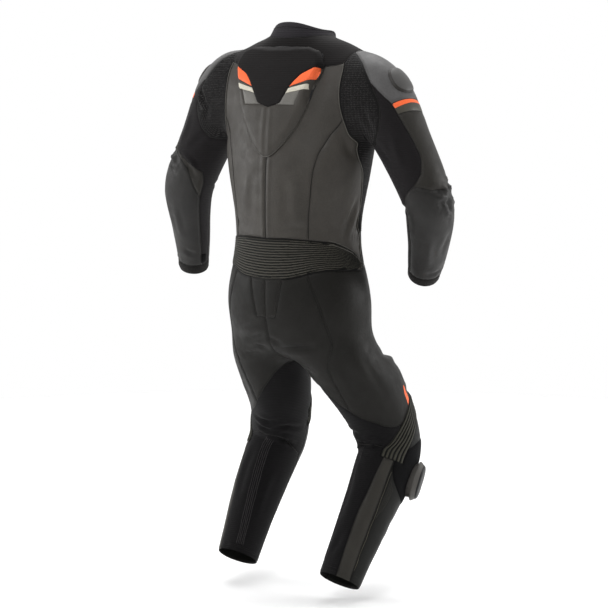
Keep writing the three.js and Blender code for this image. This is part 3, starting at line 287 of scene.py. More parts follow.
def add_torso(net):
    rows = half_torso()
    level = [r[1] for r in TORSO] + HEIGHTS
    low, top = len(TORSO), len(TORSO) + len(CHEST) - 1
    grid = [[], []]
    for side, sign in ((0, 1), (1, -1)):
        for r, row in enumerate(rows):
            ids = []
            for j, p in enumerate(row):
                if p is None:
                    ids.append(-1)
                elif j in (0, 12) and side:
                    ids.append(grid[0][r][j])
                else:
                    ids.append(net.point((0 if j in (0, 12) else sign * p[0], p[1], p[2])))
            grid[side].append(ids)
        g = grid[side]
        for r in range(len(rows) - 1):
            for j in range(12):
                if low <= r < top and 4 <= j < 8:
                    continue
                a, b = j * 15, j * 15 + 15
                net.face([g[r][j], g[r][j + 1], g[r + 1][j + 1], g[r + 1][j]],
                         [(a, level[r]), (b, level[r]), (b, level[r + 1]), (a, level[r + 1])],
                         (T, side, TRUNK), side == 0)
    return grid, low, top


def add_arms(net, grid, low, top):
    hub = np.array((ARMHOLE["x"], ARMHOLE["y"], ARMHOLE["z"]), float)
    length = [0, 0]
    for side, sign in ((0, 1), (1, -1)):
        g = grid[side]
        ring = [g[top][6 - k] for k in range(3)] + [g[top + 2 - k][4] for k in range(3, 7)]
        ring += [g[low][k - 2] for k in range(7, 11)] + [g[low + k - 10][8] for k in range(11,
                                                                                           15)] + [g[top][7]]
        rings = limb_rings(ARM[side], hub, (1, 0, 0.62), (1, 0, 0), lambda k: k * math.pi / 8,
                           lambda r: (r[3], r[3], r[4], r[5]))
        d0, last = 0.0, hub
        for i, points in enumerate(rings):
            centre = np.array(ARM[side][i][:3], float)
            d1 = d0 + float(np.linalg.norm(centre - last))
            last = centre
            new = [net.point((sign * p[0], p[1], p[2])) for p in points]
            for k in range(16):
                n = (k + 1) % 16
                a = k * 22.5 if k < 8 else 360 - k * 22.5
                b = a + 22.5 if k < 8 else a - 22.5
                net.face([ring[k], ring[n], new[n], new[k]], [(a, d0), (b, d0), (b, d1), (a, d1)],
                         (ARMS, side, BACK if k < 8 else FRONT), side == 0)
            ring, d0 = new, d1
        length[side] = d0
    return length


def add_legs(net, grid):
    middle = [net.point((0, y, z)) for y, z in CROTCH]
    for side, sign in ((0, 1), (1, -1)):
        ring = list(grid[side][0]) + middle
        h0 = TORSO[0][1]
        rings = limb_rings(LEG[side], (95, 0, -690), (1, 0, 0), (0, 0, -1), lambda m: -(m - 6) * math.pi / 8,
                           lambda r: (r[3], r[4], r[5], r[6]))
        for i, points in enumerate(rings):
            h1 = LEG[side][i][2]
            new = [net.point((sign * p[0], p[1], p[2])) for p in points]
            for m in range(16):
                n = (m + 1) % 16
                front = 6 <= m < 14
                a = (m - 6) * 22.5 if front else ((6 - m) if m < 6 else (22 - m)) * 22.5
                b = a + 22.5 if front else a - 22.5
                net.face([ring[m], ring[n], new[n], new[m]], [(a, h0), (b, h0), (b, h1), (a, h1)],
                         (LEGS, side, FRONT if front else BACK), side == 1)
            ring, h0 = new, h1


def quarter(V, F, Q, tags):
    """One step of smoothing that turns each face into four."""
    n, nf = len(V), len(F)
    centre = V[F].mean(1)
    key = np.sort(np.stack([F, np.roll(F, -1, 1)], -1).reshape(-1, 2), 1)
    edges, inverse, count = np.unique(key, axis=0, return_inverse=True, return_counts=True)
    inverse = inverse.reshape(nf, 4)
    middle = V[edges].mean(1)
    both = np.zeros_like(middle)
    np.add.at(both, inverse.ravel(), np.repeat(centre, 4, 0))
    open_edge = count == 1
    edge_point = np.where(open_edge[:, None], middle, (middle * 2 + both) / 4)
    valence = np.bincount(edges.ravel(), minlength=n).astype(float)
    edge_sum, face_sum, rim_sum = np.zeros_like(V), np.zeros_like(V), np.zeros_like(V)
    np.add.at(edge_sum, edges[:, 0], middle)
    np.add.at(edge_sum, edges[:, 1], middle)
    np.add.at(face_sum, F.ravel(), np.repeat(centre, 4, 0))
    faces_at = np.bincount(F.ravel(), minlength=n)[:, None]
    rim = np.zeros(n, bool)
    rim[edges[open_edge].ravel()] = True
    np.add.at(rim_sum, edges[open_edge][:, 0], V[edges[open_edge][:, 1]])
    np.add.at(rim_sum, edges[open_edge][:, 1], V[edges[open_edge][:, 0]])
    valence = valence[:, None]
    inner = (face_sum / faces_at + 2 * edge_sum / valence + (valence - 3) * V) / valence
    moved = np.where(rim[:, None], V * 0.75 + rim_sum * 0.125, inner)
    at_edge, at_face = inverse + n, np.arange(nf) + n + len(edges)
    new_faces, new_marks = [], []
    for c in range(4):
        p, q = (c - 1) % 4, (c + 1) % 4
        new_faces.append(np.stack([F[:, c], at_edge[:, c], at_face, at_edge[:, p]], 1))
        new_marks.append(np.stack([Q[:, c], (Q[:, c] + Q[:, q]) / 2, Q.mean(1), (Q[:, c] + Q[:, p]) / 2], 1))
    return (np.concatenate([moved, edge_point, centre]), np.concatenate(new_faces), np.concatenate(new_marks),
            np.tile(tags, (4, 1)))


def directed_edges(F):
    """(from, to, face, corner, next corner) of every side; a triangle's fourth corner is -1."""
    size = (F >= 0).sum(1)
    face, corner, after = [], [], []
    for c in range(4):
        has = np.flatnonzero(size > c)
        face.append(has)
        corner.append(np.full(len(has), c))
        after.append(np.where(size[has] > c + 1, c + 1, 0))
    face, corner, after = np.concatenate(face), np.concatenate(corner), np.concatenate(after)
    return F[face, corner], F[face, after], face, corner, after


def face_normals(V, F):
    third = np.where(F[:, 3] < 0, F[:, 0], F[:, 3])
    return np.cross(V[F[:, 2]] - V[F[:, 0]], V[third] - V[F[:, 1]])


def vertex_normals(V, F):
    normal = np.zeros_like(V)
    n = face_normals(V, F)
    for c in range(4):
        has = F[:, c] >= 0
        np.add.at(normal, F[has, c], n[has])
    return unit(normal)


def smooth_line(P, rounds=2):
    P = np.array(P, float)
    for _ in range(rounds):
        P[1:-1] = P[1:-1] / 2 + (P[:-2] + P[2:]) / 4
    return P


def even(P, N, step):
    """The same line with its points evenly spaced."""
    gaps = np.linalg.norm(np.diff(P, axis=0), axis=1)
    run = np.concatenate([[0], np.cumsum(gaps)])
    t = np.linspace(0, run[-1], max(2, int(run[-1] / step) + 1))
    place = np.stack([np.interp(t, run, P[:, k]) for k in range(3)], 1)
    normal = np.stack([np.interp(t, run, N[:, k]) for k in range(3)], 1)
    return smooth_line(place), unit(smooth_line(normal))


class Skin:
    """The finely divided net, which the seams cut into pieces."""

    def __init__(self, net):
        V, F, Q, tags = np.array(net.V), np.array(net.F), np.array(net.Q, float), np.array(net.tags)
        for _ in range(LEVELS):
            V, F, Q, tags = quarter(V, F, Q, tags)
        self.V, self.F, self.Q = V, F, Q
        self.part, self.side, self.half = tags.T.copy()
        self.N = vertex_normals(V, F)
        self.kind = np.array([0, 1, 2])[self.part]
        self.kinds = ["torso", "arm", "leg"]
        self.flags = {}
        self.index = {}
        self.lines = np.zeros(len(V), np.int64)
        self.bits = {}
        self.mark_lines()

    def bit(self, name):
        return self.bits.setdefault(name, 1 << len(self.bits))

    def mark_lines(self):
        """A point on the rim, on a middle line or between two parts may only slide along that line."""
        a, b, face, _, _ = directed_edges(self.F)
        key, count = np.unique(np.sort(np.stack([a, b], 1), 1), axis=0, return_counts=True)
        self.lines[key[count == 1].ravel()] |= self.bit("rim")
        for value in (0, 180):
            face, corner = np.nonzero(self.Q[..., 0] == value)
            self.lines[self.F[face, corner]] |= self.bit(f"line {value}")
        for part in range(3):
            seen = [np.zeros(len(self.V), bool) for _ in range(2)]
            for n, group in enumerate((self.part == part, self.part != part)):
                seen[n][self.F[group].ravel()] = True
            self.lines[seen[0] & seen[1]] |= self.bit(f"part {part}")

    def named(self, *names):
        return np.isin(self.kind, [self.kinds.index(n) for n in names if n in self.kinds])

    def name(self, title):
        if title not in self.kinds:
            self.kinds.append(title)
        number = self.kinds.index(title)

        def act(faces):
            self.kind[faces] = number
        return act

    def flag(self, title, value=1):
        if title not in self.flags:
            self.flags[title] = np.zeros(len(self.F), int)

        def act(faces):
            self.flags[title][faces] = value
        return act

    def flagged(self, title, value=1):
        return self.flags[title] == value if title in self.flags else np.zeros(len(self.F), bool)

    def cut(self, seam, chosen, field, low=None, high=None):
        """Slides net points onto the line field == 0; low and high then name the two sides."""
        faces = np.flatnonzero(chosen)
        if not len(faces):
            return
        F, Q, half, side = self.F[faces], self.Q[faces], self.half[faces], self.side[faces]
        value = np.full(len(self.V), np.nan)
        corner_value = field(Q[..., 0], Q[..., 1], half[:, None], side[:, None])
        held = F >= 0
        value[F[held][::-1]] = corner_value[held][::-1]
        self.slide(faces, value)
        F = self.F[faces]
        v = np.where(F >= 0, value[F], 0)
        mixed = (v > 0).any(1) & (v < 0).any(1) & (F[:, 3] >= 0)
        faces = np.concatenate([faces, self.halve(faces[mixed], v[mixed])])
        F = self.F[faces]
        v = np.where(F >= 0, value[F], 0)
        used = np.unique(F[F >= 0])
        self.lines[used[value[used] == 0]] |= self.bit(seam)
        lows, highs = (v < 0).any(1), (v > 0).any(1)
        middle = self.Q[faces, :3].mean(1)
        flat = field(middle[:, 0], middle[:, 1], self.half[faces], self.side[faces]) > 0
        is_high = np.where(lows == highs, flat, highs)
        if low:
            low(faces[~is_high])
        if high:
            high(faces[is_high])

    def slide(self, faces, value):
        a, b, face, ca, cb = directed_edges(self.F[faces])
        cross = value[a] * value[b] < 0
        a, b, face, ca, cb = a[cross], b[cross], faces[face[cross]], ca[cross], cb[cross]
        start, end = np.concatenate([a, b]), np.concatenate([b, a])
        face = np.concatenate([face, face])
        c0, c1 = np.concatenate([ca, cb]), np.concatenate([cb, ca])
        t = np.abs(value[start]) / (np.abs(value[start]) + np.abs(value[end]))
        held = (self.lines[start] & ~self.lines[end]) != 0
        order = np.argsort(t, kind="stable")
        moves = {}
        for most in (0.6, 1.0):
            for k in order:
                if t[k] > most:
                    break
                v, w = int(start[k]), int(end[k])
                if held[k] or v in moves or value[v] * value[w] >= 0:
                    continue
                moves[v] = (w, t[k], face[k], c0[k], c1[k])
                value[v] = 0
        for k in order:
            if value[start[k]] * value[end[k]] < 0:
                value[start[k]] = 0
        if moves:
            self.move(moves)

    def move(self, moves):
        ids = np.array(sorted(moves))
        to = np.array([moves[v][0] for v in ids])
        t = np.array([moves[v][1] for v in ids])[:, None]
        at, normal = self.V[ids] * (1 - t) + self.V[to] * t, self.N[ids] * (1 - t) + self.N[to] * t
        self.V[ids], self.N[ids] = at, unit(normal)
        near = np.zeros(len(self.V) + 1, bool)
        near[ids] = True
        rows, corners = np.nonzero(near[self.F])
        old = self.Q.copy()
        for g, c in zip(rows, corners):
            w, t1, f, c0, c1 = moves[int(self.F[g, c])]
            there = np.flatnonzero(self.F[g] == w)
            if len(there):
                step = old[g, there[0]] - old[g, c]
            elif self.part[g] == self.part[f]:
                step = old[f, c1] - old[f, c0]
                if self.half[g] != self.half[f]:
                    step = step * (-1, 1)
            else:
                continue
            self.Q[g, c] = old[g, c] + step * t1

    def find(self, part, side, half, a, h):
        """The point and normal at a place on the suit, from the net points nearest to it."""
        key = (part, side, half)
        if key not in self.index:
            group = (self.part == part) & (self.side == side) & (self.half == half) & (self.F[:, 3] >= 0)
            ids, first = np.unique(self.F[group].ravel(), return_index=True)
            self.index[key] = ids, self.Q[group].reshape(-1, 2)[first]
        ids, marks = self.index[key]
        far = ((marks[:, 0] - a) * 1.3) ** 2 + (marks[:, 1] - h) ** 2
        near = np.argpartition(far, 5)[:5]
        weight = 1 / (far[near] + 0.2) ** 2
        weight /= weight.sum()
        return weight @ self.V[ids[near]], unit(weight @ self.N[ids[near]])

    def path(self, part, side, half, marks, step=3.0):
        """A line of points and normals through places on the suit, evenly spaced."""
        marks = np.array(marks, float)
        t = np.arange(len(marks))
        fine = np.linspace(0, len(marks) - 1, max(12, len(marks) * 6))
        a, h = np.interp(fine, t, marks[:, 0]), np.interp(fine, t, marks[:, 1])
        found = [self.find(part, side, half, *m) for m in zip(a, h)]
        return even(np.array([p for p, _ in found]), np.array([n for _, n in found]), step)

    def halve(self, faces, v):
        """Splits four-sided faces from corner to corner, along the line."""
        if not len(faces):
            return faces
        turn = np.where(v[:, 0] * v[:, 2] < 0, 0, 1)
        pick = lambda *c: np.array([[(k + s) % 4 for k in c] for s in turn])
        F, Q = self.F[faces], self.Q[faces]
        first, second = pick(0, 1, 3), pick(1, 2, 3)
        rows = np.arange(len(faces))[:, None]
        blank = np.full((len(faces), 1), -1)
        self.F[faces] = np.concatenate([F[rows, first], blank], 1)
        self.Q[faces, :3] = Q[rows, first]
        new = len(self.F) + np.arange(len(faces))
        self.F = np.concatenate([self.F, np.concatenate([F[rows, second], blank], 1)])
        marks = np.concatenate([Q[rows, second], Q[rows, second][:, :1]], 1)
        self.Q = np.concatenate([self.Q, marks])
        for key in ("part", "side", "half", "kind"):
            values = getattr(self, key)
            setattr(self, key, np.concatenate([values, values[faces]]))
        for key, values in self.flags.items():
            self.flags[key] = np.concatenate([values, values[faces]])
        return new


def past(table):
    return lambda a, h, *_: a - read(table, h)


def before(table):
    return lambda a, h, *_: read(table, h) - a


def above(table):
    return lambda a, h, *_: h - read(table, a)


def below(table):
    return lambda a, h, *_: read(table, a) - h


def by_half(back, front):
    """A field's table read by degrees, one for each half of a limb."""
    return lambda a, half: np.where(half == BACK, read(back, a), read(front, a))


def by_side(left, right, x, side):
    return np.where(side == 0, read(left, x), read(right, x))


def knee_ring(a, h, half):
    s = turn_of(a, half)
    return np.hypot((s - KNEE["turn"]) * ARC / KNEE["wide"], h - KNEE["height"])


def grip_field(a, h, half):
    s = turn_of(a, half)
    return 1 - np.hypot((s - GRIP["turn"]) * ARC / GRIP["wide"], (h - GRIP["height"]) / GRIP["tall"])


def cut_torso(skin):
    skin.cut("collar", skin.named("torso"), lambda a, h, *_: h - COLLAR_SEAM, None, skin.name("collar"))
    skin.cut("yoke", skin.named("torso"), lambda a, h, *_: h - YOKE_SEAM, None, skin.name("yoke"))
    skin.cut("belt top", skin.named("torso"), above(BELT_TOP), skin.name("below"))
    skin.cut("belt low", skin.named("below"), below(BELT_LOW), skin.name("belt"),
             skin.name("hip"))
    skin.cut("princess", skin.named("torso"), past(PRINCESS), skin.name("back"))
    skin.cut("side back", skin.named("torso"), past(SIDE_BACK), skin.name("side_back"))
    skin.cut("side front", skin.named("torso"), past(SIDE_FRONT), skin.name("gusset"),
             skin.name("front"))
    skin.cut("seat", skin.named("hip"), past(SEAT_SIDE), skin.name("seat"),
             skin.name("thigh"))
    skin.cut("patch top", skin.named("seat"), lambda a, h, *_: h - PATCH_TOP, None, skin.flag("patch"))
    skin.cut("patch side", skin.named("seat") & skin.flagged("patch"), past(PATCH),
             skin.name("patch"))
    edge = 180 - ZIP_HALF
    skin.cut("zip", skin.named("collar", "yoke", "front"), lambda a, *_: a - edge, None,
             skin.name("zip_tape"))
    skin.cut("zip end", skin.named("thigh"), lambda a, h, *_: h - ZIP_END, None, skin.flag("zip"))
    skin.cut("low zip", skin.named("thigh") & skin.flagged("zip"), lambda a, *_: a - edge, None,
             skin.name("zip_tape"))


def cut_legs(skin):
    leather = by_half(*LEATHER_LOW)
    knee = by_half(*KNEE_SEAM)
    near = skin.named("leg") & ((skin.half == FRONT) | (skin.Q[..., 0].max(1) < 100))
    skin.cut("knee out", near, lambda a, h, half, s: KNEE["outer"] - knee_ring(a, h, half), None,
             skin.name("horseshoe"))
    skin.cut("knee low", skin.named("horseshoe"), lambda a, h, *_: h - KNEE["bottom"], skin.name("leg"))
    skin.cut("knee end", skin.named("horseshoe"), lambda a, h, half, s: turn_of(a, half) - KNEE["end"],
             skin.name("leg"))
    skin.cut("knee in", skin.named("horseshoe"), lambda a, h, half, s: knee_ring(a, h, half) - KNEE["inner"],
             skin.name("shin"), skin.name("knee"))
    skin.cut("leather low", skin.named("leg"), lambda a, h, half, s: h - leather(a, half), None,
             skin.name("hip"))
    skin.cut("seat leg", skin.named("hip") & (skin.half == BACK), past(SEAT_LEG),
             skin.name("thigh"), skin.name("seat"))
    skin.name("thigh")(skin.named("hip"))
    skin.cut("knee seam", skin.named("leg"), lambda a, h, half, s: h - knee(a, half), None,
             skin.name("thigh_stretch"))
    skin.cut("strip back", skin.named("leg") & (skin.half == BACK), past(STRIP_BACK), None,
             skin.name("calf"))
    skin.cut("strip front", skin.named("leg") & (skin.half == BACK), past(STRIP_FRONT),
             skin.name("shin"), skin.name("strip"))
    skin.cut("calf", skin.named("leg"), past(CALF_INNER), skin.name("shin"),
             skin.name("calf"))


def cut_arms(skin, ends):
    gusset = by_half(*GUSSET)
    end = np.array(ends)
    skin.cut("cuff", skin.named("arm"), lambda a, d, half, s: d - (end[s] - CUFF_LENGTH), None,
             skin.name("cuff"))
    skin.cut("arm gusset", skin.named("arm"), lambda a, d, half, s: gusset(a, half) - d, None,
             skin.name("gusset"))
    skin.cut("sleeve stretch", skin.named("arm"),
             lambda a, d, half, s: a - np.where(half == BACK, by_side(*STRETCH, d, s),
                                                read(STRETCH_FRONT, d)),
             None, skin.name("sleeve_stretch"))
    skin.cut("elbow", skin.named("arm"), lambda a, d, half, s: d - by_side(*ELBOW, a, s), None,
             skin.name("forearm"))
    skin.cut("band top", skin.named("arm"), lambda a, d, half, s: d - read(BAND, turn_of(a, half)),
             skin.name("cap"))
    skin.cut("band low", skin.named("arm"), lambda a, d, half,
             s: read(BAND, turn_of(a, half)) + STRIPE_WIDTH - d,
             skin.name("sleeve"), skin.name("arm_band"))


HUMP_PARTS = ["shell", "insert", "orange", "white", "grey"]


def cut_hump(skin):
    """The cover's parts are flags on the back and the yoke, which run on under it."""
    near = skin.named("back", "yoke") & (skin.part == T) & (skin.Q[..., 0].min(1) < 55)
    skin.cut("hump top", near, below(HUMP_TOP), None, skin.flag("under top"))
    skin.cut("hump low", skin.flagged("under top"), above(HUMP_LOW), None,
             skin.flag("hump", 1))
    skin.cut("insert", skin.flagged("hump"), above(INSERT), None, skin.flag("hump", 2))
    skin.cut("stripes", skin.flagged("hump"), before(STRIPE_END), None, skin.flag("stripes"))
    inner = skin.flagged("hump") & skin.flagged("stripes")
    skin.cut("orange", inner, above(ORANGE_LOW), None, skin.flag("hump", 3))
    inner = skin.flagged("hump") & skin.flagged("stripes")
    skin.cut("white top", inner, below(WHITE_TOP), None, skin.flag("under orange"))
    under = skin.flagged("hump") & skin.flagged("under orange")
    skin.cut("white low", under, above(WHITE_LOW), None, skin.flag("hump", 4))
    under = skin.flagged("hump") & skin.flagged("under orange")
    skin.cut("grey low", under, lambda a, h, *_: h - GREY_LOW, None, skin.flag("above grey"))
    under = skin.flagged("hump") & skin.flagged("above grey")
    skin.cut("grey side", under, before(GREY_SIDE), None, skin.flag("hump", 5))


def tidy(F, label):
    """A face with no more than one neighbour of its own piece goes to the piece that it borders most."""
    a, b, face, _, _ = directed_edges(F)
    n = int(F.max()) + 1
    order = np.argsort(a * n + b)
    keys = (a * n + b)[order]
    at = np.clip(np.searchsorted(keys, b * n + a), 0, len(keys) - 1)
    found = keys[at] == b * n + a
    mine, other = face[found], face[order][at[found]]
    for _ in range(3):
        same = np.bincount(mine[label[mine] == label[other]], minlength=len(F))
        around = np.bincount(mine, minlength=len(F))
        loose = (same <= 1) & (around - same >= 2)
        for f in np.flatnonzero(loose):
            near = label[other[mine == f]]
            near = near[near != label[f]]
            label[f] = np.bincount(near).argmax()
    return label


def to_outline(table, a, h):
    """Millimetres from a place on the hump to an outline given in degrees and heights."""
    best, k = np.full(np.shape(a), 1e9), HUMP_ARC
    for (x0, y0), (x1, y1) in zip(table, table[1:]):
        x0, x1 = x0 * k, x1 * k
        t = ((a * k - x0) * (x1 - x0) + (h - y0) * (y1 - y0)) / ((x1 - x0) ** 2 + (y1 - y0) ** 2)
        s = np.clip(t, 0, 1)
        best = np.minimum(best, np.hypot(a * k - x0 - s * (x1 - x0), h - y0 - s * (y1 - y0)))
    return best


def hump_depth(a, h):
    return np.minimum(to_outline(HUMP_LOW, a, h), to_outline(HUMP_TOP, a, h))


def hump_rise(a, h):
    t = np.minimum(1, hump_depth(a, h) / HUMP_SHOULDER)
    return HUMP_RIM + (read(HUMP_HEIGHT, h) - HUMP_RIM) * np.sin(t * math.pi / 2)


def rounded_rib(u):
    return np.abs(np.sin(u * math.pi)) ** 1.1


def belt_lift(at):
    low = read(BELT_LOW, at.a)
    u = (at.h - low) / (read(BELT_TOP, at.a) - low) * BELT_RIBS
    inside = np.clip(u * 2, 0, 1) * np.clip((BELT_RIBS - u) * 2, 0, 1)
    return BELT_RIB_HEIGHT * rounded_rib(u) * inside * np.clip((BELT_PLAIN - at.a) / 8, 0, 1)


def knee_lift(at):
    u = (knee_ring(at.a, at.h, at.half) - KNEE["inner"]) / (KNEE["outer"] - KNEE["inner"]) * KNEE_RIBS
    return KNEE_RIB_HEIGHT * rounded_rib(u) * (u > 0) * (u < KNEE_RIBS)


def gusset_lift(at):
    """Raised diamonds of the stretch gusset, strongest behind the arm."""
    k = KNURL
    around, along = (np.abs(at.P[:, 0]) - at.P[:, 1]) * k["around"], at.P[:, 2] * k["along"]
    p, q = along + around, along - around
    knurl = np.sin(p * math.pi / k["pitch"]) * np.sin(q * math.pi / k["pitch"])
    return k["high"] * np.clip(knurl, -0.3, 1) * np.clip((at.rim - k["plain"]) / k["fade"], 0, 1)


# Finishing a panel's rim: how far in, and how far down, each ring of its rounded edge lies.
RIM_INSET = 1.2
RIM_DIP, DIP_REACH = 1.1, 3.2      # the skin sinks toward a seam, over about this distance
LADDER = [(0.55, 0.28), (0.2, 0.95)]
FOOT = 0.2


def split(P, N, F, Q, chain):
    """One four-sided face for each corner of a face, on a surface that keeps its curve."""
    a, b, face, ca, cb = directed_edges(F)
    n = len(P)
    code = np.minimum(a, b) * n + np.maximum(a, b)
    codes, first, inverse = np.unique(code, return_index=True, return_inverse=True)
    i, j = codes // n, codes % n
    d = P[j] - P[i]
    bend = (d * N[j]).sum(1, keepdims=True) * N[j] - (d * N[i]).sum(1, keepdims=True) * N[i]
    middle = (P[i] + P[j]) / 2 + bend / 8
    size = (F >= 0).sum(1)
    corner_sum, middle_sum, normal_sum = (np.zeros((len(F), 3)) for _ in range(3))
    np.add.at(corner_sum, face, P[a])
    np.add.at(middle_sum, face, middle[inverse])
    np.add.at(normal_sum, face, N[a])
    four = (size == 4)[:, None]
    centre = np.where(four, middle_sum / 2 - corner_sum / 4, middle_sum * 4 / 9 - corner_sum / 9)
    edge_of = np.full(F.shape, -1)
    edge_of[face, ca] = inverse + n
    before = np.where(ca > 0, ca - 1, size[face] - 1)
    new_faces = np.stack([a, edge_of[face, ca], n + len(codes) + face, edge_of[face, before]], 1)
    mean = np.zeros((len(F), 2))
    np.add.at(mean, face, Q[face, ca])
    mean /= size[:, None]
    own = Q[face, ca]
    new_marks = np.stack([own, (own + Q[face, cb]) / 2, mean[face], (own + Q[face, before]) / 2], 1)
    links = [chain[:, :1]]
    for k in range(chain.shape[1] - 1):
        p, q = chain[:, k], chain[:, k + 1]
        mid = np.searchsorted(codes, np.minimum(p, q) * n + np.maximum(p, q)) + n
        links += [mid[:, None], chain[:, k + 1:k + 2]]
    points = np.concatenate([P, middle, centre])
    normals = unit(np.concatenate([N, N[i] + N[j], normal_sum]))
    return points, normals, new_faces, new_marks, np.concatenate(links, 1), face


class Place:
    """Where each point of a panel lies on the suit."""

    def __init__(self, P, N, F, Q, half, rim):
        self.P, self.N, self.rim = P, N, rim
        self.a, self.h, self.half = np.zeros(len(P)), np.zeros(len(P)), np.zeros(len(P), int)
        for c in range(4):
            has = F[:, c] >= 0
            self.a[F[has, c]], self.h[F[has, c]] = Q[has, c].T
            self.half[F[has, c]] = half[has]


def rim_distance(P, rim_points):
    tree = KDTree(len(rim_points))
    for k, p in enumerate(rim_points):
        tree.insert(p, k)
    tree.balance()
    return np.array([tree.find(p)[2] for p in P])


class Panel:
    """One cut piece as a closed shell: a rounded outer skin, its rim and a plain inner skin."""

    def __init__(self, skin, faces, lift=None, refine=0, real=None, floor=None, wall=WALL, paint=None,
                 painted_crest_highlight=None):
        F, Q, half = skin.F[faces], skin.Q[faces], skin.half[faces]
        used = np.unique(F[F >= 0])
        local = np.full(len(skin.V) + 1, -1)
        local[used] = np.arange(len(used))
        F = np.where(F >= 0, local[F], -1)
        P, N = skin.V[used], skin.N[used]
        a, b, *_ = directed_edges(F)
        n = len(P)
        open_side = ~np.isin(a * n + b, b * n + a)
        self.rim = np.stack([a[open_side], b[open_side]], 1)
        self.true_rim = np.ones(len(self.rim), bool)
        if real is not None:
            self.true_rim = real(skin, used[self.rim])
        chain = self.rim.copy()
        P1, N1, F1, Q1, half1 = P, N, F, Q, half
        colour = paint[faces] if paint is not None else np.zeros(len(faces), int)
        for _ in range(refine):
            P1, N1, F1, Q1, chain, origin = split(P1, N1, F1, Q1, chain)
            half1, colour = half1[origin], colour[origin]
        step = self.steps(P1, N1, chain)
        edge_points = P1[np.unique(chain[self.true_rim])] if self.true_rim.any() else P1[:1] + 1e3
        distance = rim_distance(P1, edge_points)
        at = Place(P1, N1, F1, Q1, half1, distance)
        relief = np.broadcast_to(lift(at) if lift else 0.0, (len(P1),))
        # Faces raised past this relief take the second finish, a painted highlight on the rib tops.
        if painted_crest_highlight is not None:
            colour = (relief[F1[:, :3]].mean(1) > painted_crest_highlight).astype(int)
        height = relief - RIM_DIP * np.exp(-distance / DIP_REACH)
        outer = P1 + step * RIM_INSET + N1 * height[:, None]
        rim_ids = np.unique(chain)
        rim_of = np.full(len(P1), -1)
        rim_of[rim_ids] = np.arange(len(rim_ids))
        rings, starts = [outer], []
        total = len(outer)
        base = floor(at) if floor else np.zeros(len(P1))
        for inset, drop in LADDER:
            level = height[rim_ids] - drop
            level = np.maximum(level, base[rim_ids] - wall + 0.1)
            rings.append(P1[rim_ids] + step[rim_ids] * inset + N1[rim_ids] * level[:, None])
            starts.append(total)
            total += len(rim_ids)
        step0 = self.steps(P, N, self.rim)
        at0 = Place(P, N, F, Q, half, np.full(len(P), 50.0))
        under = (floor(at0) if floor else np.zeros(len(P))) - wall
        inner = P + step0 * FOOT + N * under[:, None]
        rings.append(inner)
        inner_start = total
        polys = [F1[F1[:, 3] >= 0], F1[F1[:, 3] < 0, :3]]
        levels = [np.arange(len(P1))] + [rim_of + s for s in starts]
        for up, down in zip(levels, levels[1:]):
            p, q = chain[:, :-1].ravel(), chain[:, 1:].ravel()
            polys.append(np.stack([up[q], up[p], down[p], down[q]], 1))
        last = levels[-1]
        polys.append(np.concatenate([last[chain[:, ::-1]], self.rim + inner_start], 1))
        back = F[F[:, 3] >= 0][:, ::-1]
        polys += [back + inner_start, F[F[:, 3] < 0][:, 2::-1] + inner_start]
        self.points, self.polys = np.concatenate(rings), polys
        self.colours = np.concatenate([colour[F1[:, 3] >= 0], colour[F1[:, 3] < 0]])
        self.P, self.N, self.step = P, N, step0

    def steps(self, P, N, chain):
        """Steps sideways into the piece at its rim, for an inset of one millimetre."""
        real = chain[self.true_rim]
        total, count = np.zeros_like(P), np.zeros(len(P))
        for k in range(chain.shape[1] - 1):
            p, q = real[:, k], real[:, k + 1]
            way = unit(np.cross(N[p] + N[q], P[q] - P[p]))
            for i in (p, q):
                np.add.at(total, i, way)
                np.add.at(count, i, 1)
        scale = np.maximum(0.5, (total ** 2).sum(1) / np.maximum(count, 1))
        return total / scale[:, None]

    def loops(self):
        """The true rim as runs of point numbers."""
        after = {int(p): int(q) for p, q in self.rim[self.true_rim]}
        runs = []
        starts = [p for p in after if p not in set(after.values())] + list(after)
        seen = set()
        for start in starts:
            if start in seen:
                continue
            run = [start]
            seen.add(start)
            while run[-1] in after and after[run[-1]] not in seen:
                run.append(after[run[-1]])
                seen.add(run[-1])
            if run[-1] in after:
                run.append(after[run[-1]])
            if len(run) > 2:
                runs.append(run)
        return runs


def srgb(code):
    """A colour code as linear values."""
    parts = [int(code[i:i + 2], 16) / 255 for i in (1, 3, 5)]
    return tuple(c / 12.92 if c <= 0.04045 else ((c + 0.055) / 1.055) ** 2.4 for c in parts) + (1.0,)


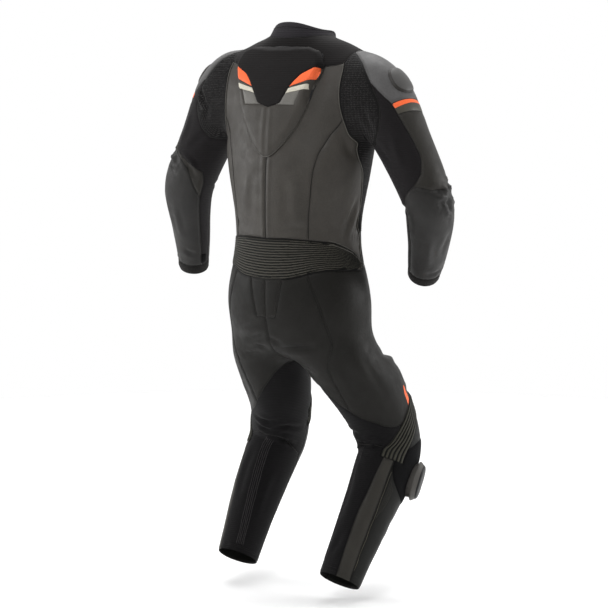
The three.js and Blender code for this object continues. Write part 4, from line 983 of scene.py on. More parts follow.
class Finish:
    """A material whose nodes are added one by one."""

    def __init__(self, title, roughness, ior=1.5, **sockets):
        self.material = bpy.data.materials.new(title)
        self.material.use_nodes = True
        self.tree = self.material.node_tree
        self.shader = self.tree.nodes["Principled BSDF"]
        self.shader.inputs["Roughness"].default_value = roughness
        self.shader.inputs["IOR"].default_value = ior
        for key, value in sockets.items():
            self.shader.inputs[key.replace("_", " ")].default_value = value
        self.place = self.add("ShaderNodeTexCoord").outputs["Object"]

    def add(self, kind, inputs=None, **settings):
        node = self.tree.nodes.new(kind)
        for key, value in settings.items():
            setattr(node, key, value)
        for key, value in (inputs or {}).items():
            if isinstance(value, bpy.types.NodeSocket):
                self.tree.links.new(value, node.inputs[key])
            else:
                node.inputs[key].default_value = value
        return node

    def noise(self, size, detail=3.0, rough=0.55):
        """Cloudy pattern with patches of this size in millimetres."""
        node = self.add("ShaderNodeTexNoise", {"Vector": self.place, "Scale": 1000 / size, "Detail": detail,
                                               "Roughness": rough})
        return node.outputs["Fac"]

    def ramp(self, value, low, high, start=0.35, end=0.65):
        node = self.add("ShaderNodeMapRange", {"Value": value, "From Min": start, "From Max": end,
                                               "To Min": low, "To Max": high})
        return node.outputs["Result"]

    def mix(self, factor, first, second, blend="MIX"):
        node = self.add("ShaderNodeMix", data_type="RGBA", blend_type=blend)
        for index, value in ((0, factor), (6, first), (7, second)):
            if isinstance(value, bpy.types.NodeSocket):
                self.tree.links.new(value, node.inputs[index])
            else:
                node.inputs[index].default_value = value
        return node.outputs[2]

    def bump(self, height, depth, strength=1.0, after=None):
        """Relief of this depth in millimetres."""
        inputs = {"Height": height, "Distance": depth * MM, "Strength": strength}
        if after is not None:
            inputs["Normal"] = after
        return self.add("ShaderNodeBump", inputs).outputs["Normal"]

    def use(self, key, socket):
        self.tree.links.new(socket, self.shader.inputs[key])


GRAIN_SIZE, GRAIN_DEPTH = 1.1, 0.09


def leather(title, code, roughness=0.5, spread=0.12, shine=0.2):
    # Smooth cowhide: a soft broad highlight, fine pebbled grain of about 1 mm, and slightly uneven dye.
    f = Finish(title, roughness, 1.5, Specular_IOR_Level=shine)
    colour = srgb(code)
    dark = tuple(c * (1 - spread) for c in colour[:3]) + (1,)
    light = tuple(c * (1 + spread) for c in colour[:3]) + (1,)
    cloudy = f.ramp(f.noise(60, 4), 0.0, 1.0, 0.3, 0.7)
    base = f.mix(cloudy, dark, light)
    fine = f.ramp(f.noise(3.5, 2), 0.94, 1.06)
    shade = f.add("ShaderNodeCombineColor", {"Red": fine, "Green": fine, "Blue": fine}).outputs["Color"]
    f.use("Base Color", f.mix(1.0, base, shade, "MULTIPLY"))
    f.use("Roughness", f.ramp(f.noise(25, 3), roughness - 0.05, roughness + 0.07))
    pebbles = f.add("ShaderNodeTexVoronoi", {"Vector": f.place, "Scale": 1000 / GRAIN_SIZE},
                    feature="SMOOTH_F1")
    wrinkle = f.bump(f.noise(7, 4, 0.6), 0.55, 0.7)
    f.use("Normal", f.bump(pebbles.outputs["Distance"], GRAIN_DEPTH, 0.8, wrinkle))
    return f.material


def stretch(title, code, roughness=0.78, pitch=2.2):
    # Woven stretch fabric: matt, with a faint sheen at glancing angles and close ribs across the body.
    f = Finish(title, roughness, 1.45, Sheen_Weight=0.04, Sheen_Roughness=0.5, Specular_IOR_Level=0.12)
    colour = srgb(code)
    light = tuple(c * 1.3 for c in colour[:3]) + (1,)
    f.use("Base Color", f.mix(f.ramp(f.noise(1.6, 2), 0, 1, 0.4, 0.7), colour, light))
    wave = f.add("ShaderNodeTexWave", {"Vector": f.place, "Scale": 1000 / pitch / 6.28, "Distortion": 0.6,
                                       "Detail": 1.0, "Detail Scale": 2.0}, bands_direction="Z")
    f.use("Normal", f.bump(wave.outputs["Fac"], 0.35, 0.8, f.bump(f.noise(0.9, 2), 0.15, 0.6)))
    return f.material


def plain(title, code, roughness, ior=1.5, grain=0.0, size=1.5, **sockets):
    f = Finish(title, roughness, ior, **sockets)
    f.shader.inputs["Base Color"].default_value = srgb(code)
    if grain:
        f.use("Normal", f.bump(f.noise(size, 3), grain, 0.8))
    return f.material


FINISHES = {
    "back": leather("dark brown-grey leather", "#383531", 0.5, shine=0.25),
    "sleeve": leather("dark sleeve leather", "#2b2926"),
    "seat": leather("deep olive-grey leather", "#1a1917", 0.52, shine=0.13),
    "shin": leather("deep shin leather", "#121210", 0.5, shine=0.13),
    "cap": leather("grey leather", "#504f4f", 0.5, shine=0.25),
    "forearm": leather("dark grey leather", "#262524"),
    "strip": leather("faded dark leather", "#2f2d29"),
    "orange": leather("orange leather", "#f26a3c", 0.45, 0.05),
    "white": leather("cream leather", "#c4bfb1", 0.45, 0.03),
    "silver": leather("mid grey leather", "#666460", 0.45, 0.05),
    "band grey": leather("olive-grey leather", "#47443d", 0.45, 0.05),
    "stretch": stretch("black stretch cloth", "#181617"),
    "collar": stretch("collar stretch", "#242225"),
    "cuff": stretch("cuff stretch", "#181716"),
    "yoke": stretch("black shoulder stretch", "#151313"),
    "knit": stretch("black leg stretch", "#0d0c0d"),
    # Each ribbed cloth has a lighter copy of itself for its rib tops: a painted highlight.
    "gusset": stretch("black knurled stretch", "#0c0b0b", 0.6, 1.6),
    "gusset crest": stretch("knurled stretch painted_crest_highlights", "#3a3838", 0.6, 1.6),
    "belt": stretch("ribbed black stretch", "#0e0e0c", 0.6, 1.6),
    "belt crest": stretch("ribbed stretch painted_crest_highlights", "#403e38", 0.55, 1.6),
    "knee": stretch("ribbed knee stretch", "#0a0a08", 0.6, 1.6),
    "knee crest": stretch("ribbed knee painted_crest_highlights", "#33322b", 0.55, 1.6),
    "tape": plain("zip tape", "#100f11", 0.85, 1.5, 0.2, 0.8, Specular_IOR_Level=0.12),
    # Hook tape: a dense matt field of loops.
    "hook": plain("hook-and-loop tape", "#080809", 0.95, 1.5, 0.7, 1.2, Sheen_Weight=0.03,
                  Specular_IOR_Level=0.08),
    # Cast polyurethane: dull, slightly pebbled.
    "slider": plain("cast polyurethane", "#4a4845", 0.45, 1.5, 0.12, 1.0, Specular_IOR_Level=0.3),
    "slider face": plain("cast polyurethane face", "#0b0b0c", 0.5, 1.5, 0.12, 1.0, Specular_IOR_Level=0.25),
    "cup": plain("moulded shoulder shield", "#2e2c2a", 0.5, 1.5, 0.1, 1.0, Specular_IOR_Level=0.25),
    "cup face": plain("moulded shield face", "#4c4b4a", 0.5, 1.5, 0.1, 1.0, Specular_IOR_Level=0.25),
    # Closed-cell foam.
    "foam": plain("moulded foam", "#262627", 0.9, 1.4, 0.25, 1.0),
    # Coated zinc.
    "metal": plain("black zinc", "#4a4a4e", 0.34, 1.5, 0.02, 0.5, Metallic=1.0),
    "thread": plain("sewing thread", "#1d1c1a", 0.6, 1.5, 0.1, 0.5, Specular_IOR_Level=0.2),
    "grey thread": plain("grey sewing thread", "#3d3b38", 0.6, 1.5, 0.1, 0.5, Specular_IOR_Level=0.2),
    "pale thread": plain("pale sewing thread", "#5f5c51", 0.6, 1.5, 0.1, 0.5, Specular_IOR_Level=0.2),
    "cord": stretch("fine cords", "#33322d", 0.6, 1.2),
    # Piping leather, lighter than the panels that it edges: a painted highlight along the piped edges.
    "welt": leather("edge leather", "#5a5853", 0.4, 0.05),
    "binding": stretch("edge binding", "#0c0b0b", 0.6, 1.2),
    "tuck": stretch("pin tuck stretch", "#2b292a", 0.55, 1.2),
    "tooth": plain("moulded zip tooth", "#2a2a2c", 0.4, 1.5, Specular_IOR_Level=0.35),
}


def link(obj):
    bpy.context.scene.collection.objects.link(obj)
    return obj


def mesh_object(title, points, polys, finish, smooth=True, colours=None, second=None):
    """A mesh in metres; colours picks the second finish for some of its first faces."""
    mesh = bpy.data.meshes.new(title)
    faces = [row for group in polys for row in group.tolist()]
    mesh.from_pydata((np.asarray(points) * MM).tolist(), [], faces)
    mesh.polygons.foreach_set("use_smooth", [smooth] * len(mesh.polygons))
    mesh.materials.append(FINISHES[finish])
    if second:
        mesh.materials.append(FINISHES[second])
        index = np.zeros(len(mesh.polygons), int)
        index[:len(colours)] = colours
        mesh.polygons.foreach_set("material_index", index)
    mesh.validate()
    mesh.update()
    obj = bpy.data.objects.new(title, mesh)
    return link(obj)


def merged(parts):
    """Several (points, polygons) as one."""
    points, polys, start = [], [], 0
    for p, q in parts:
        points.append(p)
        polys += [g + start for g in q]
        start += len(p)
    return np.concatenate(points), polys


def tube(points, normals, radius, sides, sink):
    """A cord along a line, its ends drawn to a point."""
    P = points - normals * sink
    along = unit(np.gradient(P, axis=0))
    across = unit(np.cross(along, normals))
    n = len(P)
    size = np.full(n, radius)
    size[0] = size[-1] = radius * 0.2
    t = np.arange(sides) / sides * 2 * math.pi
    ring = P[:, None] + size[:, None, None] * (np.cos(t)[None, :, None] * across[:, None]
                                               + np.sin(t)[None, :, None] * normals[:, None])
    ids = np.arange(n * sides).reshape(n, sides)
    a, b = ids[:-1], ids[1:]
    quads = np.stack([a, np.roll(a, -1, 1), np.roll(b, -1, 1), b], -1).reshape(-1, 4)
    return ring.reshape(-1, 3), [quads, ids[:1, ::-1], ids[-1:]]


STITCH = dict(pitch=3.4, long=2.5, wide=0.42, high=0.38)


def stitches(points, normals):
    """A row of short thread beads along a line whose points lie a stitch apart."""
    middle = (points[:-1] + points[1:]) / 2
    n = unit(normals[:-1] + normals[1:])
    along = unit(points[1:] - points[:-1])
    across = np.cross(n, along)
    k = STITCH
    corners = [along * k["long"] / 2, across * k["wide"], -along * k["long"] / 2, -across * k["wide"],
               n * k["high"], -n * k["high"]]
    P = np.stack([middle + c for c in corners], 1)
    base = np.arange(len(middle))[:, None, None] * 6
    tri = np.array([(0, 1, 4), (1, 2, 4), (2, 3, 4), (3, 0, 4), (1, 0, 5), (2, 1, 5), (3, 2, 5), (0, 3, 5)])
    return P.reshape(-1, 3), [(tri[None] + base).reshape(-1, 3)]


def laid_on(tree, points, normals, lift=0.0):
    """Points moved to the nearest place of a skin, and that skin's normals."""
    out, turned = np.array(points), np.array(normals)
    for k, p in enumerate(points):
        start = Vector(p + normals[k] * 8)
        hit, n, _, _ = tree.ray_cast(start, Vector(-normals[k]), 20)
        if hit is None:
            hit, n, _, _ = tree.find_nearest(Vector(p))
        if hit is not None and n.dot(Vector(normals[k])) > 0.3:
            out[k] = hit
            turned[k] = n
    return out + normals * lift, turned


def tree_of(points, polys):
    faces = [row for group in polys for row in group.tolist()]
    return BVHTree.FromPolygons([Vector(p) for p in points], faces)


WAVES = 7


def ripple(P, length, seed):
    """A smooth uneven swell of about -1 to 1."""
    rng = np.random.default_rng(seed)
    total = np.zeros(len(P))
    for _ in range(WAVES):
        way = unit(rng.normal(size=3))
        total += np.sin(P @ way * 2 * math.pi / length * rng.uniform(0.7, 1.5) + rng.uniform(0, 6.28))
    return total / math.sqrt(WAVES)


# Folds: part, side, half, half width and depth in millimetres, then places along them as
# degrees and height (on the arms, distance). A negative depth is a raised fold.
CREASES = [
    # Seat and crotch.
    (T, L, TRUNK, 5, 2.6, [(2, -640), (10, -650), (24, -668)]), (T, R, TRUNK, 5, 2.2, [(0, -648), (8, -660)]),
    (T, L, TRUNK, 9, -1.8, [(4, -626), (16, -634), (30, -652)]),
    (T, R, TRUNK, 4, 2.4, [(0, -686), (10, -688), (22, -694), (36, -706)]),
    (T, L, TRUNK, 4, 2.0, [(0, -686), (7, -683), (14, -678)]),
    (T, R, TRUNK, 8, 1.6, [(10, -676), (24, -690), (38, -704)]),
    (LEGS, L, BACK, 6, 2.6, [(118, -700), (104, -716), (84, -728)]),
    (LEGS, R, BACK, 7, 2.2, [(140, -722), (120, -742), (98, -752)]),
    (LEGS, R, BACK, 9, -1.8, [(150, -748), (128, -768), (104, -782)]),
    # Thighs.
    (LEGS, R, BACK, 10, 1.6, [(40, -700), (48, -760), (52, -820)]),
    (LEGS, R, BACK, 9, -1.4, [(24, -720), (30, -780), (30, -850)]),
    (LEGS, L, BACK, 9, 1.4, [(30, -700), (38, -750), (44, -800)]),
    (LEGS, L, BACK, 8, -1.4, [(60, -770), (56, -820), (44, -868)]),
    (LEGS, L, FRONT, 9, 1.8, [(20, -730), (60, -750), (100, -752)]),
    (LEGS, R, FRONT, 9, 1.8, [(20, -740), (64, -762), (104, -760)]),
    (LEGS, L, FRONT, 8, -1.5, [(30, -760), (66, -776), (98, -772)]),
    (LEGS, R, FRONT, 8, -1.5, [(34, -775), (70, -790), (100, -784)]),
    (LEGS, L, FRONT, 8, 1.4, [(20, -850), (60, -872), (92, -866)]),
    (LEGS, R, FRONT, 8, 1.4, [(24, -862), (62, -880), (94, -872)]),
    # Behind the knees.
    (LEGS, L, BACK, 4, 2.6, [(74, -883), (98, -884), (122, -879)]),
    (LEGS, L, BACK, 5, 2.4, [(100, -896), (138, -898), (171, -919)]),
    (LEGS, L, BACK, 5, -2.2, [(112, -918), (140, -938), (160, -966)]),
    (LEGS, L, BACK, 4, 3.2, [(117, -928), (142, -950), (162, -983)]),
    (LEGS, L, BACK, 6, 1.8, [(70, -905), (96, -912), (112, -910)]),
    (LEGS, L, BACK, 6, -1.6, [(60, -894), (90, -898), (110, -894)]),
    (LEGS, R, BACK, 4.5, 3.4, [(118, -914), (96, -921), (72, -918)]),
    (LEGS, R, BACK, 5, -2.4, [(116, -903), (94, -908), (70, -906)]),
    (LEGS, R, BACK, 5, 2.2, [(126, -934), (100, -940), (78, -936)]),
    (LEGS, R, BACK, 4, 2.4, [(78, -945), (66, -952), (58, -962)]),
    (LEGS, R, BACK, 6, 2.0, [(150, -892), (120, -888), (96, -892)]),
    (LEGS, R, BACK, 7, -1.6, [(140, -956), (112, -962), (88, -958)]),
    (LEGS, L, FRONT, 5, 2.0, [(150, -905), (164, -918), (176, -924)]),
    (LEGS, R, FRONT, 5, 2.0, [(150, -912), (164, -924), (176, -930)]),
    # Calves and hems.
    (LEGS, L, BACK, 9, 1.5, [(90, -1010), (84, -1080), (86, -1150)]),
    (LEGS, R, BACK, 10, 1.6, [(120, -1030), (112, -1100), (112, -1170)]),
    (LEGS, L, BACK, 8, -1.2, [(150, -1060), (146, -1120), (146, -1180)]),
    (LEGS, R, BACK, 8, 1.5, [(84, -1180), (92, -1215), (110, -1240)]),
    (LEGS, R, FRONT, 8, 1.3, [(30, -1120), (60, -1150), (88, -1160)]),
    (LEGS, L, FRONT, 8, 1.3, [(30, -1110), (60, -1140), (90, -1150)]),
    (LEGS, R, FRONT, 7, -1.2, [(50, -1200), (80, -1212), (110, -1206)]),
    # Small of the back and waist.
    (T, R, TRUNK, 6, 2.2, [(76, -440), (84, -400), (92, -352)]),
    (T, R, TRUNK, 5, -2.2, [(82, -452), (90, -412), (97, -366)]),
    (T, R, TRUNK, 5, 2.2, [(92, -470), (99, -425), (104, -380)]),
    (T, R, TRUNK, 4, -1.8, [(100, -480), (106, -440), (110, -400)]),
    (T, L, TRUNK, 6, 2.0, [(78, -440), (86, -402), (94, -356)]),
    (T, L, TRUNK, 5, -1.8, [(88, -458), (95, -414), (100, -372)]),
    (T, L, TRUNK, 9, 1.5, [(18, -420), (30, -408), (44, -412)]),
    (T, R, TRUNK, 10, 1.3, [(12, -424), (28, -414), (46, -420)]),
    (T, R, TRUNK, 12, -1.4, [(22, -300), (26, -350), (28, -410)]),
    (T, L, TRUNK, 12, -1.2, [(16, -290), (20, -340), (22, -400)]),
    (T, R, TRUNK, 10, 1.6, [(56, -210), (66, -238), (80, -262)]),
    (T, L, TRUNK, 10, 1.6, [(56, -214), (66, -240), (80, -266)]),
    # Front of the chest and waist.
    (T, L, TRUNK, 9, 1.6, [(120, -250), (138, -262), (160, -270)]),
    (T, R, TRUNK, 9, 1.6, [(122, -256), (142, -268), (164, -272)]),
    (T, L, TRUNK, 9, -1.3, [(124, -420), (146, -430), (168, -428)]),
    (T, R, TRUNK, 9, 1.5, [(122, -432), (148, -440), (170, -436)]),
    (T, L, TRUNK, 10, 1.6, [(130, -560), (150, -590), (168, -606)]),
    (T, R, TRUNK, 10, 1.6, [(132, -566), (152, -596), (170, -610)]),
    # Shoulders and sleeves.
    (ARMS, L, BACK, 7, 1.8, [(90, 40), (100, 66), (104, 100)]),
           (ARMS, R, BACK, 7, 1.8, [(92, 44), (104, 72), (108, 108)]),
    (ARMS, L, BACK, 4, 2.6, [(64, 64), (74, 63), (90, 62)]),
           (ARMS, L, BACK, 6, -2.0, [(62, 74), (76, 73), (92, 71)]),
    (ARMS, R, BACK, 8, 1.6, [(120, 130), (112, 170), (100, 206)]),
    (ARMS, L, BACK, 8, 1.6, [(120, 124), (108, 160), (92, 196)]),
    (ARMS, L, BACK, 8, -1.4, [(60, 120), (66, 160), (60, 198)]),
    (ARMS, R, BACK, 8, -1.4, [(70, 140), (80, 180), (80, 220)]),
    (ARMS, R, FRONT, 7, 1.6, [(90, 130), (120, 146), (150, 140)]),
    (ARMS, L, FRONT, 7, 1.6, [(90, 128), (120, 142), (150, 138)]),
    # Elbows.
    (ARMS, R, BACK, 4, 2.4, [(46, 282), (30, 284), (12, 287)]),
           (ARMS, R, BACK, 4, 2.6, [(40, 302), (22, 306), (6, 318)]),
    (ARMS, R, BACK, 4.5, -2.2, [(44, 292), (26, 296), (8, 300)]),
    (ARMS, R, BACK, 3.5, 3.0, [(14, 304), (18, 318), (24, 332)]),
    (ARMS, R, BACK, 5, -2.0, [(34, 318), (24, 330), (16, 344)]),
    (ARMS, R, FRONT, 4.5, 2.4, [(4, 288), (20, 284), (44, 282)]),
    (ARMS, R, FRONT, 4.5, 2.2, [(4, 316), (24, 310), (50, 306)]),
    (ARMS, R, BACK, 6, 1.8, [(130, 296), (150, 306), (174, 310)]),
    (ARMS, L, BACK, 4, 2.2, [(30, 238), (56, 234), (76, 240)]),
           (ARMS, L, BACK, 4.5, -2.0, [(34, 250), (60, 246), (84, 254)]),
    (ARMS, L, BACK, 4, 2.2, [(40, 264), (66, 262), (92, 274)]),
    (ARMS, L, BACK, 5, 2.4, [(96, 226), (116, 238), (136, 256)]),
    (ARMS, L, BACK, 5, -2.0, [(88, 214), (112, 222), (136, 238)]),
    (ARMS, L, FRONT, 4.5, 2.2, [(10, 250), (36, 248), (62, 250)]),
    (ARMS, L, FRONT, 5, 2.0, [(100, 268), (130, 280), (160, 282)]),
    # Forearms.
    (ARMS, R, BACK, 8, 1.6, [(30, 372), (44, 410), (46, 450)]),
           (ARMS, R, BACK, 7, -1.2, [(84, 380), (88, 420), (84, 470)]),
    (ARMS, L, BACK, 8, 1.6, [(50, 350), (62, 400), (64, 440)]),
           (ARMS, L, BACK, 7, -1.3, [(100, 340), (104, 390), (106, 440)]),
    (ARMS, L, BACK, 5, 1.8, [(110, 480), (130, 490), (150, 492)]),
    (ARMS, R, BACK, 6, 1.5, [(40, 498), (64, 506), (90, 504)]),
]


FOLD_DEPTH = 1.9          # how much deeper than the table the folds are pressed
NARROWEST = 6.0           # a fold is at least a net face wide on each side


def crease(P, line, half_width, depth):
    """How far a soft fold moves each point along its normal: a trough with a low bank each side."""
    if len(line) < 2:
        return np.zeros(len(P))
    low, high = line.min(0) - 4 * half_width, line.max(0) + 4 * half_width
    near = np.flatnonzero(((P > low) & (P < high)).all(1))
    out = np.zeros(len(P))
    far = np.linalg.norm(P[near][:, None] - line[None], axis=2)
    which = far.argmin(1)
    d = far[np.arange(len(near)), which] / half_width
    run = which / (len(line) - 1)
    fade = np.sin(np.clip(run, 0.02, 0.98) * math.pi) ** 0.7
    bank = 0.3 * np.exp(-((d - 2.1) / 0.8) ** 2)
    out[near] = -FOLD_DEPTH * depth * fade * (np.exp(-d ** 2) - bank)
    return out


# Crinkled places: part, side, half, degrees, height or distance, radius, depth and wave, in millimetres.
CRINKLES = [
    (ARMS, R, BACK, 18, 300, 36, 2.5, 17), (ARMS, R, FRONT, 20, 300, 34, 1.9, 19),
            (ARMS, L, BACK, 60, 244, 30, 1.8, 18),
    (ARMS, L, FRONT, 60, 252, 30, 1.2, 21), (LEGS, L, BACK, 100, -905, 40, 1.1, 24),
            (LEGS, R, BACK, 96, -925, 40, 1.2, 24),
    (ARMS, R, BACK, 20, 520, 24, 0.9, 17), (ARMS, L, BACK, 60, 530, 22, 0.9, 17),
            (T, R, TRUNK, 92, -430, 34, 1.2, 24),
    (T, L, TRUNK, 92, -430, 34, 1.1, 24), (LEGS, L, BACK, 90, -1255, 26, 0.9, 18),
            (LEGS, R, BACK, 80, -1260, 28, 1.0, 18),
]


def folds(skin):
    lift = 0.3 * ripple(skin.V, 110, 3) + 0.12 * ripple(skin.V, 45, 8)
    for part, side, half, wide, depth, marks in CREASES:
        line, _ = skin.path(part, side, half, marks)
        lift += crease(skin.V, line, max(wide, NARROWEST), depth)
    for k, (part, side, half, a, h, radius, depth, wave) in enumerate(CRINKLES):
        p, _ = skin.find(part, side, half, a, h)
        near = np.exp(-((skin.V - p) ** 2).sum(1) / radius ** 2)
        lift += depth * near * ripple(skin.V, wave, 20 + k)
    return lift


# The suit's skin, cut into its pieces.
net = Net()
grid, low_row, top_row = add_torso(net)
ARM_ENDS = add_arms(net, grid, low_row, top_row)
add_legs(net, grid)
skin = Skin(net)
cut_torso(skin)
cut_legs(skin)
cut_arms(skin, ARM_ENDS)
cut_hump(skin)
skin.cut("grip", skin.named("shin"), lambda a, h, half, s: grip_field(a, h, half), None, skin.flag("grip"))
skin.cut("band colour", skin.named("arm_band"), lambda a, d, half, s: d - read(BAND, turn_of(a, half))
         - read(ORANGE_WIDTH, turn_of(a, half)), skin.flag("bright"))


def flash(a, h, half):
    """The bright flash on the front of the thigh: a narrow leaf above the knee."""
    return read(FLASH_WIDE, h) - np.abs(turn_of(a, half) - read(FLASH_MIDDLE, h))


skin.cut("flash", skin.named("thigh") & (skin.part == LEGS), lambda a, h, half, s: flash(a, h, half), None,
         skin.flag("bright"))
SINGLE = {"collar", "yoke", "belt", "zip_tape", "patch"}
label = skin.kind * 2 + skin.side
for k, title in enumerate(skin.kinds):
    if title in SINGLE:
        label[skin.kind == k] = k * 2
label = tidy(skin.F, label)
skin.V += skin.N * folds(skin)[:, None]
skin.N = vertex_normals(skin.V, skin.F)

KINDS = {
    "back": "back", "side_back": "back", "front": "back", "gusset": "gusset", "seat": "seat", "thigh": "seat",
    "thigh_stretch": "knit", "calf": "knit", "strip": "strip", "shin": "shin", "knee": "knee",
    "cap": "cap", "arm_band": "band grey", "sleeve": "sleeve", "sleeve_stretch": "stretch",
         "forearm": "forearm",
    "cuff": "cuff", "collar": "collar", "yoke": "yoke", "belt": "belt", "zip_tape": "tape",
    "patch": "seat",
}


def back_lift(at):
    """A felled seam down the spine: the leather is turned under and stitched each side of it."""
    out = at.a * FELL["arc"]
    seam = (np.clip((out - FELL["near"]) / FELL["slope"], 0, 1)
            * np.clip((FELL["far"] - out) / FELL["slope"], 0, 1))
    return FELL["high"] * seam


LIFTS = {"belt": belt_lift, "knee": knee_lift, "gusset": gusset_lift, "back": back_lift}
REFINE = {"belt": 2, "knee": 2, "gusset": 2, "back": 1}
SECOND = {"arm_band": ("bright", "orange"), "thigh": ("bright", "orange")}
# Relief in millimetres above which a ribbed cloth's faces take a lighter copy of its finish: a painted
# highlight on the rib tops.
PAINTED_HIGHLIGHT_RELIEF = {"belt": 1.9, "knee": 1.8, "gusset": 0.55}
LEATHERS = {"back", "side_back", "front", "seat", "thigh", "shin", "cap", "sleeve", "forearm", "strip",
            "patch"}


def keep_apart(inside):
    """The rim is a real seam where the next piece isn't the other part of the same piece."""
    other = set(np.unique(skin.F[inside & (skin.F[:, 0] >= 0)]).tolist())
    return lambda s, edges: ~np.isin(edges, list(other)).all(1)


def parts_of(kind, faces):
    """A piece is one panel, but the belt's plain front is coarser and the patch has a middle seam."""
    if kind == "patch":
        return [(faces[skin.side[faces] == k], 0, None) for k in (0, 1)]
    if kind != "belt":
        return [(faces, REFINE.get(kind, 0), None)]
    ribbed = skin.Q[faces][..., 0].mean(1) < BELT_PLAIN
    out = []
    for part, level in ((faces[ribbed], 2), (faces[~ribbed], 0)):
        rest = np.zeros(len(skin.F), bool)
        rest[np.setdiff1d(faces, part)] = True
        out.append((part, level, keep_apart(rest)))
    return out


panels, objects, trees = {}, {}, {}


def add_piece(title, kind, made, finish):
    panels[title] = made
    points, polys = merged([(p.points, p.polys) for p in made])
    # The second finish is a real coloured panel on the arm band and thigh flash, and a painted highlight on
    # the rib tops of the ribbed cloths.
    second = SECOND[kind][1] if kind in SECOND else kind + " crest" if kind in PAINTED_HIGHLIGHT_RELIEF else None
    colours = made[0].colours if second else None
    objects[title] = mesh_object(title + "_cloth", points, polys, finish, True, colours, second)
    trees[title] = tree_of(points, polys)


for k, kind in enumerate(skin.kinds):
    if kind not in KINDS:
        continue
    for side, letter in SIDES:
        faces = np.flatnonzero(label == k * 2 + side)
        if not len(faces):
            continue
        title = kind if kind in SINGLE else f"{kind}_{letter}"
        paint = skin.flags[SECOND[kind][0]] if kind in SECOND else None
        made = [Panel(skin, part, LIFTS.get(kind), level, real, paint=paint, painted_crest_highlight=PAINTED_HIGHLIGHT_RELIEF.get(kind))
                for part, level, real in parts_of(kind, faces)]
        add_piece(title, kind, made, KINDS[kind])

HUMP_FINISH = {"shell": "back", "insert": "yoke", "orange": "orange", "white": "white", "grey": "silver"}
for n, part in enumerate(HUMP_PARTS, start=1):
    for side, letter in SIDES:
        here = skin.flagged("hump", n)
        title = f"hump_{part}"
        if part not in ("shell", "insert"):
            here = here & (skin.side == side)
            title += "_" + letter
        elif side:
            continue

        def rise(at):
            return hump_rise(at.a, at.h)

        def rise_and_seam(at, part=part):
            return rise(at) + (back_lift(at) if part == "shell" else 0)

        made = Panel(skin, np.flatnonzero(here), rise_and_seam, 1, floor=rise)
        add_piece(title, "hump", [made], HUMP_FINISH[part])

for side, letter in SIDES:
    here = np.flatnonzero(skin.flagged("grip") & (label == skin.kinds.index("shin") * 2 + side))

    def grip_level(at):
        return np.full(len(at.P), 0.35 + GRIP["rise"])

    made = Panel(skin, here, grip_level, 0, floor=grip_level, wall=GRIP["rise"])
    add_piece(f"knee_grip_{letter}", "knee_grip", [made], "hook")


def family(title):
    return title[:-2] if title[-2:] in ("_l", "_r") else title


def declare(title, obj):
    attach(obj, "suit")
    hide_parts(title)


for title, obj in objects.items():
    declare(title, obj)

for title, finish in (("hump_core", "foam"), ("zip_slider", "metal"), ("zip_pull", "metal")):
    node = frame["nodes"][title]
    for slot in node.material_slots:
        slot.material = FINISHES[finish]

# Sewing: two rows of stitches inside the edge of every leather piece.
THREADS = {k: "grey thread" for k in ("back", "side_back", "cap", "sleeve", "forearm", "hump_shell", "patch")}
ROWS = (2.4, 5.0)


def edge_line(panel, run, inset, pitch):
    """A line inside a panel's rim, its points a stitch apart, and its normals."""
    ids = np.array(run)
    P, N = panel.P[ids] + panel.step[ids] * inset, panel.N[ids]
    return even(smooth_line(P, 1), N, pitch)


def small_part(title, made, finish):
    points, polys = merged(made)
    obj = mesh_object(title, points, polys, finish)
    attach(obj, "suit")
    return obj


for title, made in panels.items():
    kind = family(title)
    if kind not in LEATHERS and title != "hump_shell":
        continue
    rows = []
    for panel in made:
        for run in panel.loops():
            if len(run) < 8:
                continue
            for inset in ROWS:
                line, normals = edge_line(panel, run, inset, STITCH["pitch"])
                line, normals = laid_on(trees[title], line, normals, 0.1)
                rows.append(stitches(line, normals))
    small_part(title + "_stitching", rows, THREADS.get(kind, "thread"))

whole = tree_of(*merged([(p.points, p.polys) for made in panels.values() for p in made]))


def border(mine, theirs):
    """Runs of net points where the first pieces meet the second ones."""
    a, b, face, _, _ = directed_edges(skin.F)
    n = len(skin.V)
    own = np.isin(label[face], mine)
    other = np.isin(label[face], theirs)
    twin = np.isin(a[own] * n + b[own], b[other] * n + a[other])
    after = dict(zip(a[own][twin].tolist(), b[own][twin].tolist()))
    starts = [p for p in after if p not in set(after.values())] or list(after)[:1]
    runs = []
    for start in starts:
        run = [start]
        while run[-1] in after and len(run) <= len(after):
            run.append(after[run[-1]])
        runs.append(run)
    return [r for r in runs if len(r) > 4]


# Seam allowances: the turned-in edges behind every seam, which close the slit between two pieces.
made = []
for one in np.unique(label):
    for run in border([one], np.unique(label[label > one])):
        line, normals = even(smooth_line(skin.V[run], 2), skin.N[run], 6)
        made.append(tube(line, normals, 0.8, 6, 0.95))
small_part("seam_allowances", made, "thread")


def labels(side, *kinds):
    return [skin.kinds.index(k) * 2 + (0 if k in SINGLE else side) for k in kinds]


def welt(mine, theirs, radius, rise):
    made = []
    for run in border(mine, theirs):
        line, normals = even(smooth_line(skin.V[run], 2), skin.N[run], 2.5)
        made.append(tube(line, normals, radius, 8, -rise))
    return made


# Welts: a piped edge where the leather back meets the gusset, in lighter leather as a painted highlight along
# the edge, and a binding along the ribbed belt.
for side, letter in SIDES:
    edge = welt(labels(side, "back", "side_back"), labels(side, "gusset"), 0.9, 0.1)
    small_part(f"gusset_welt_{letter}", edge, "welt")
around = sum((labels(s, "back", "side_back", "gusset", "front", "seat", "thigh") for s in (0, 1)), [])
small_part("belt_binding", welt(labels(0, "belt"), around, 1.2, 0.3), "binding")


def cord(part, side, marks, step, radius, sides, sink):
    """A cord laid on the suit through places at its back."""
    line, normals = skin.path(part, side, TRUNK if part == T else BACK, marks, step)
    line, normals = laid_on(whole, line, normals)
    return tube(smooth_line(line), normals, radius, sides, sink)
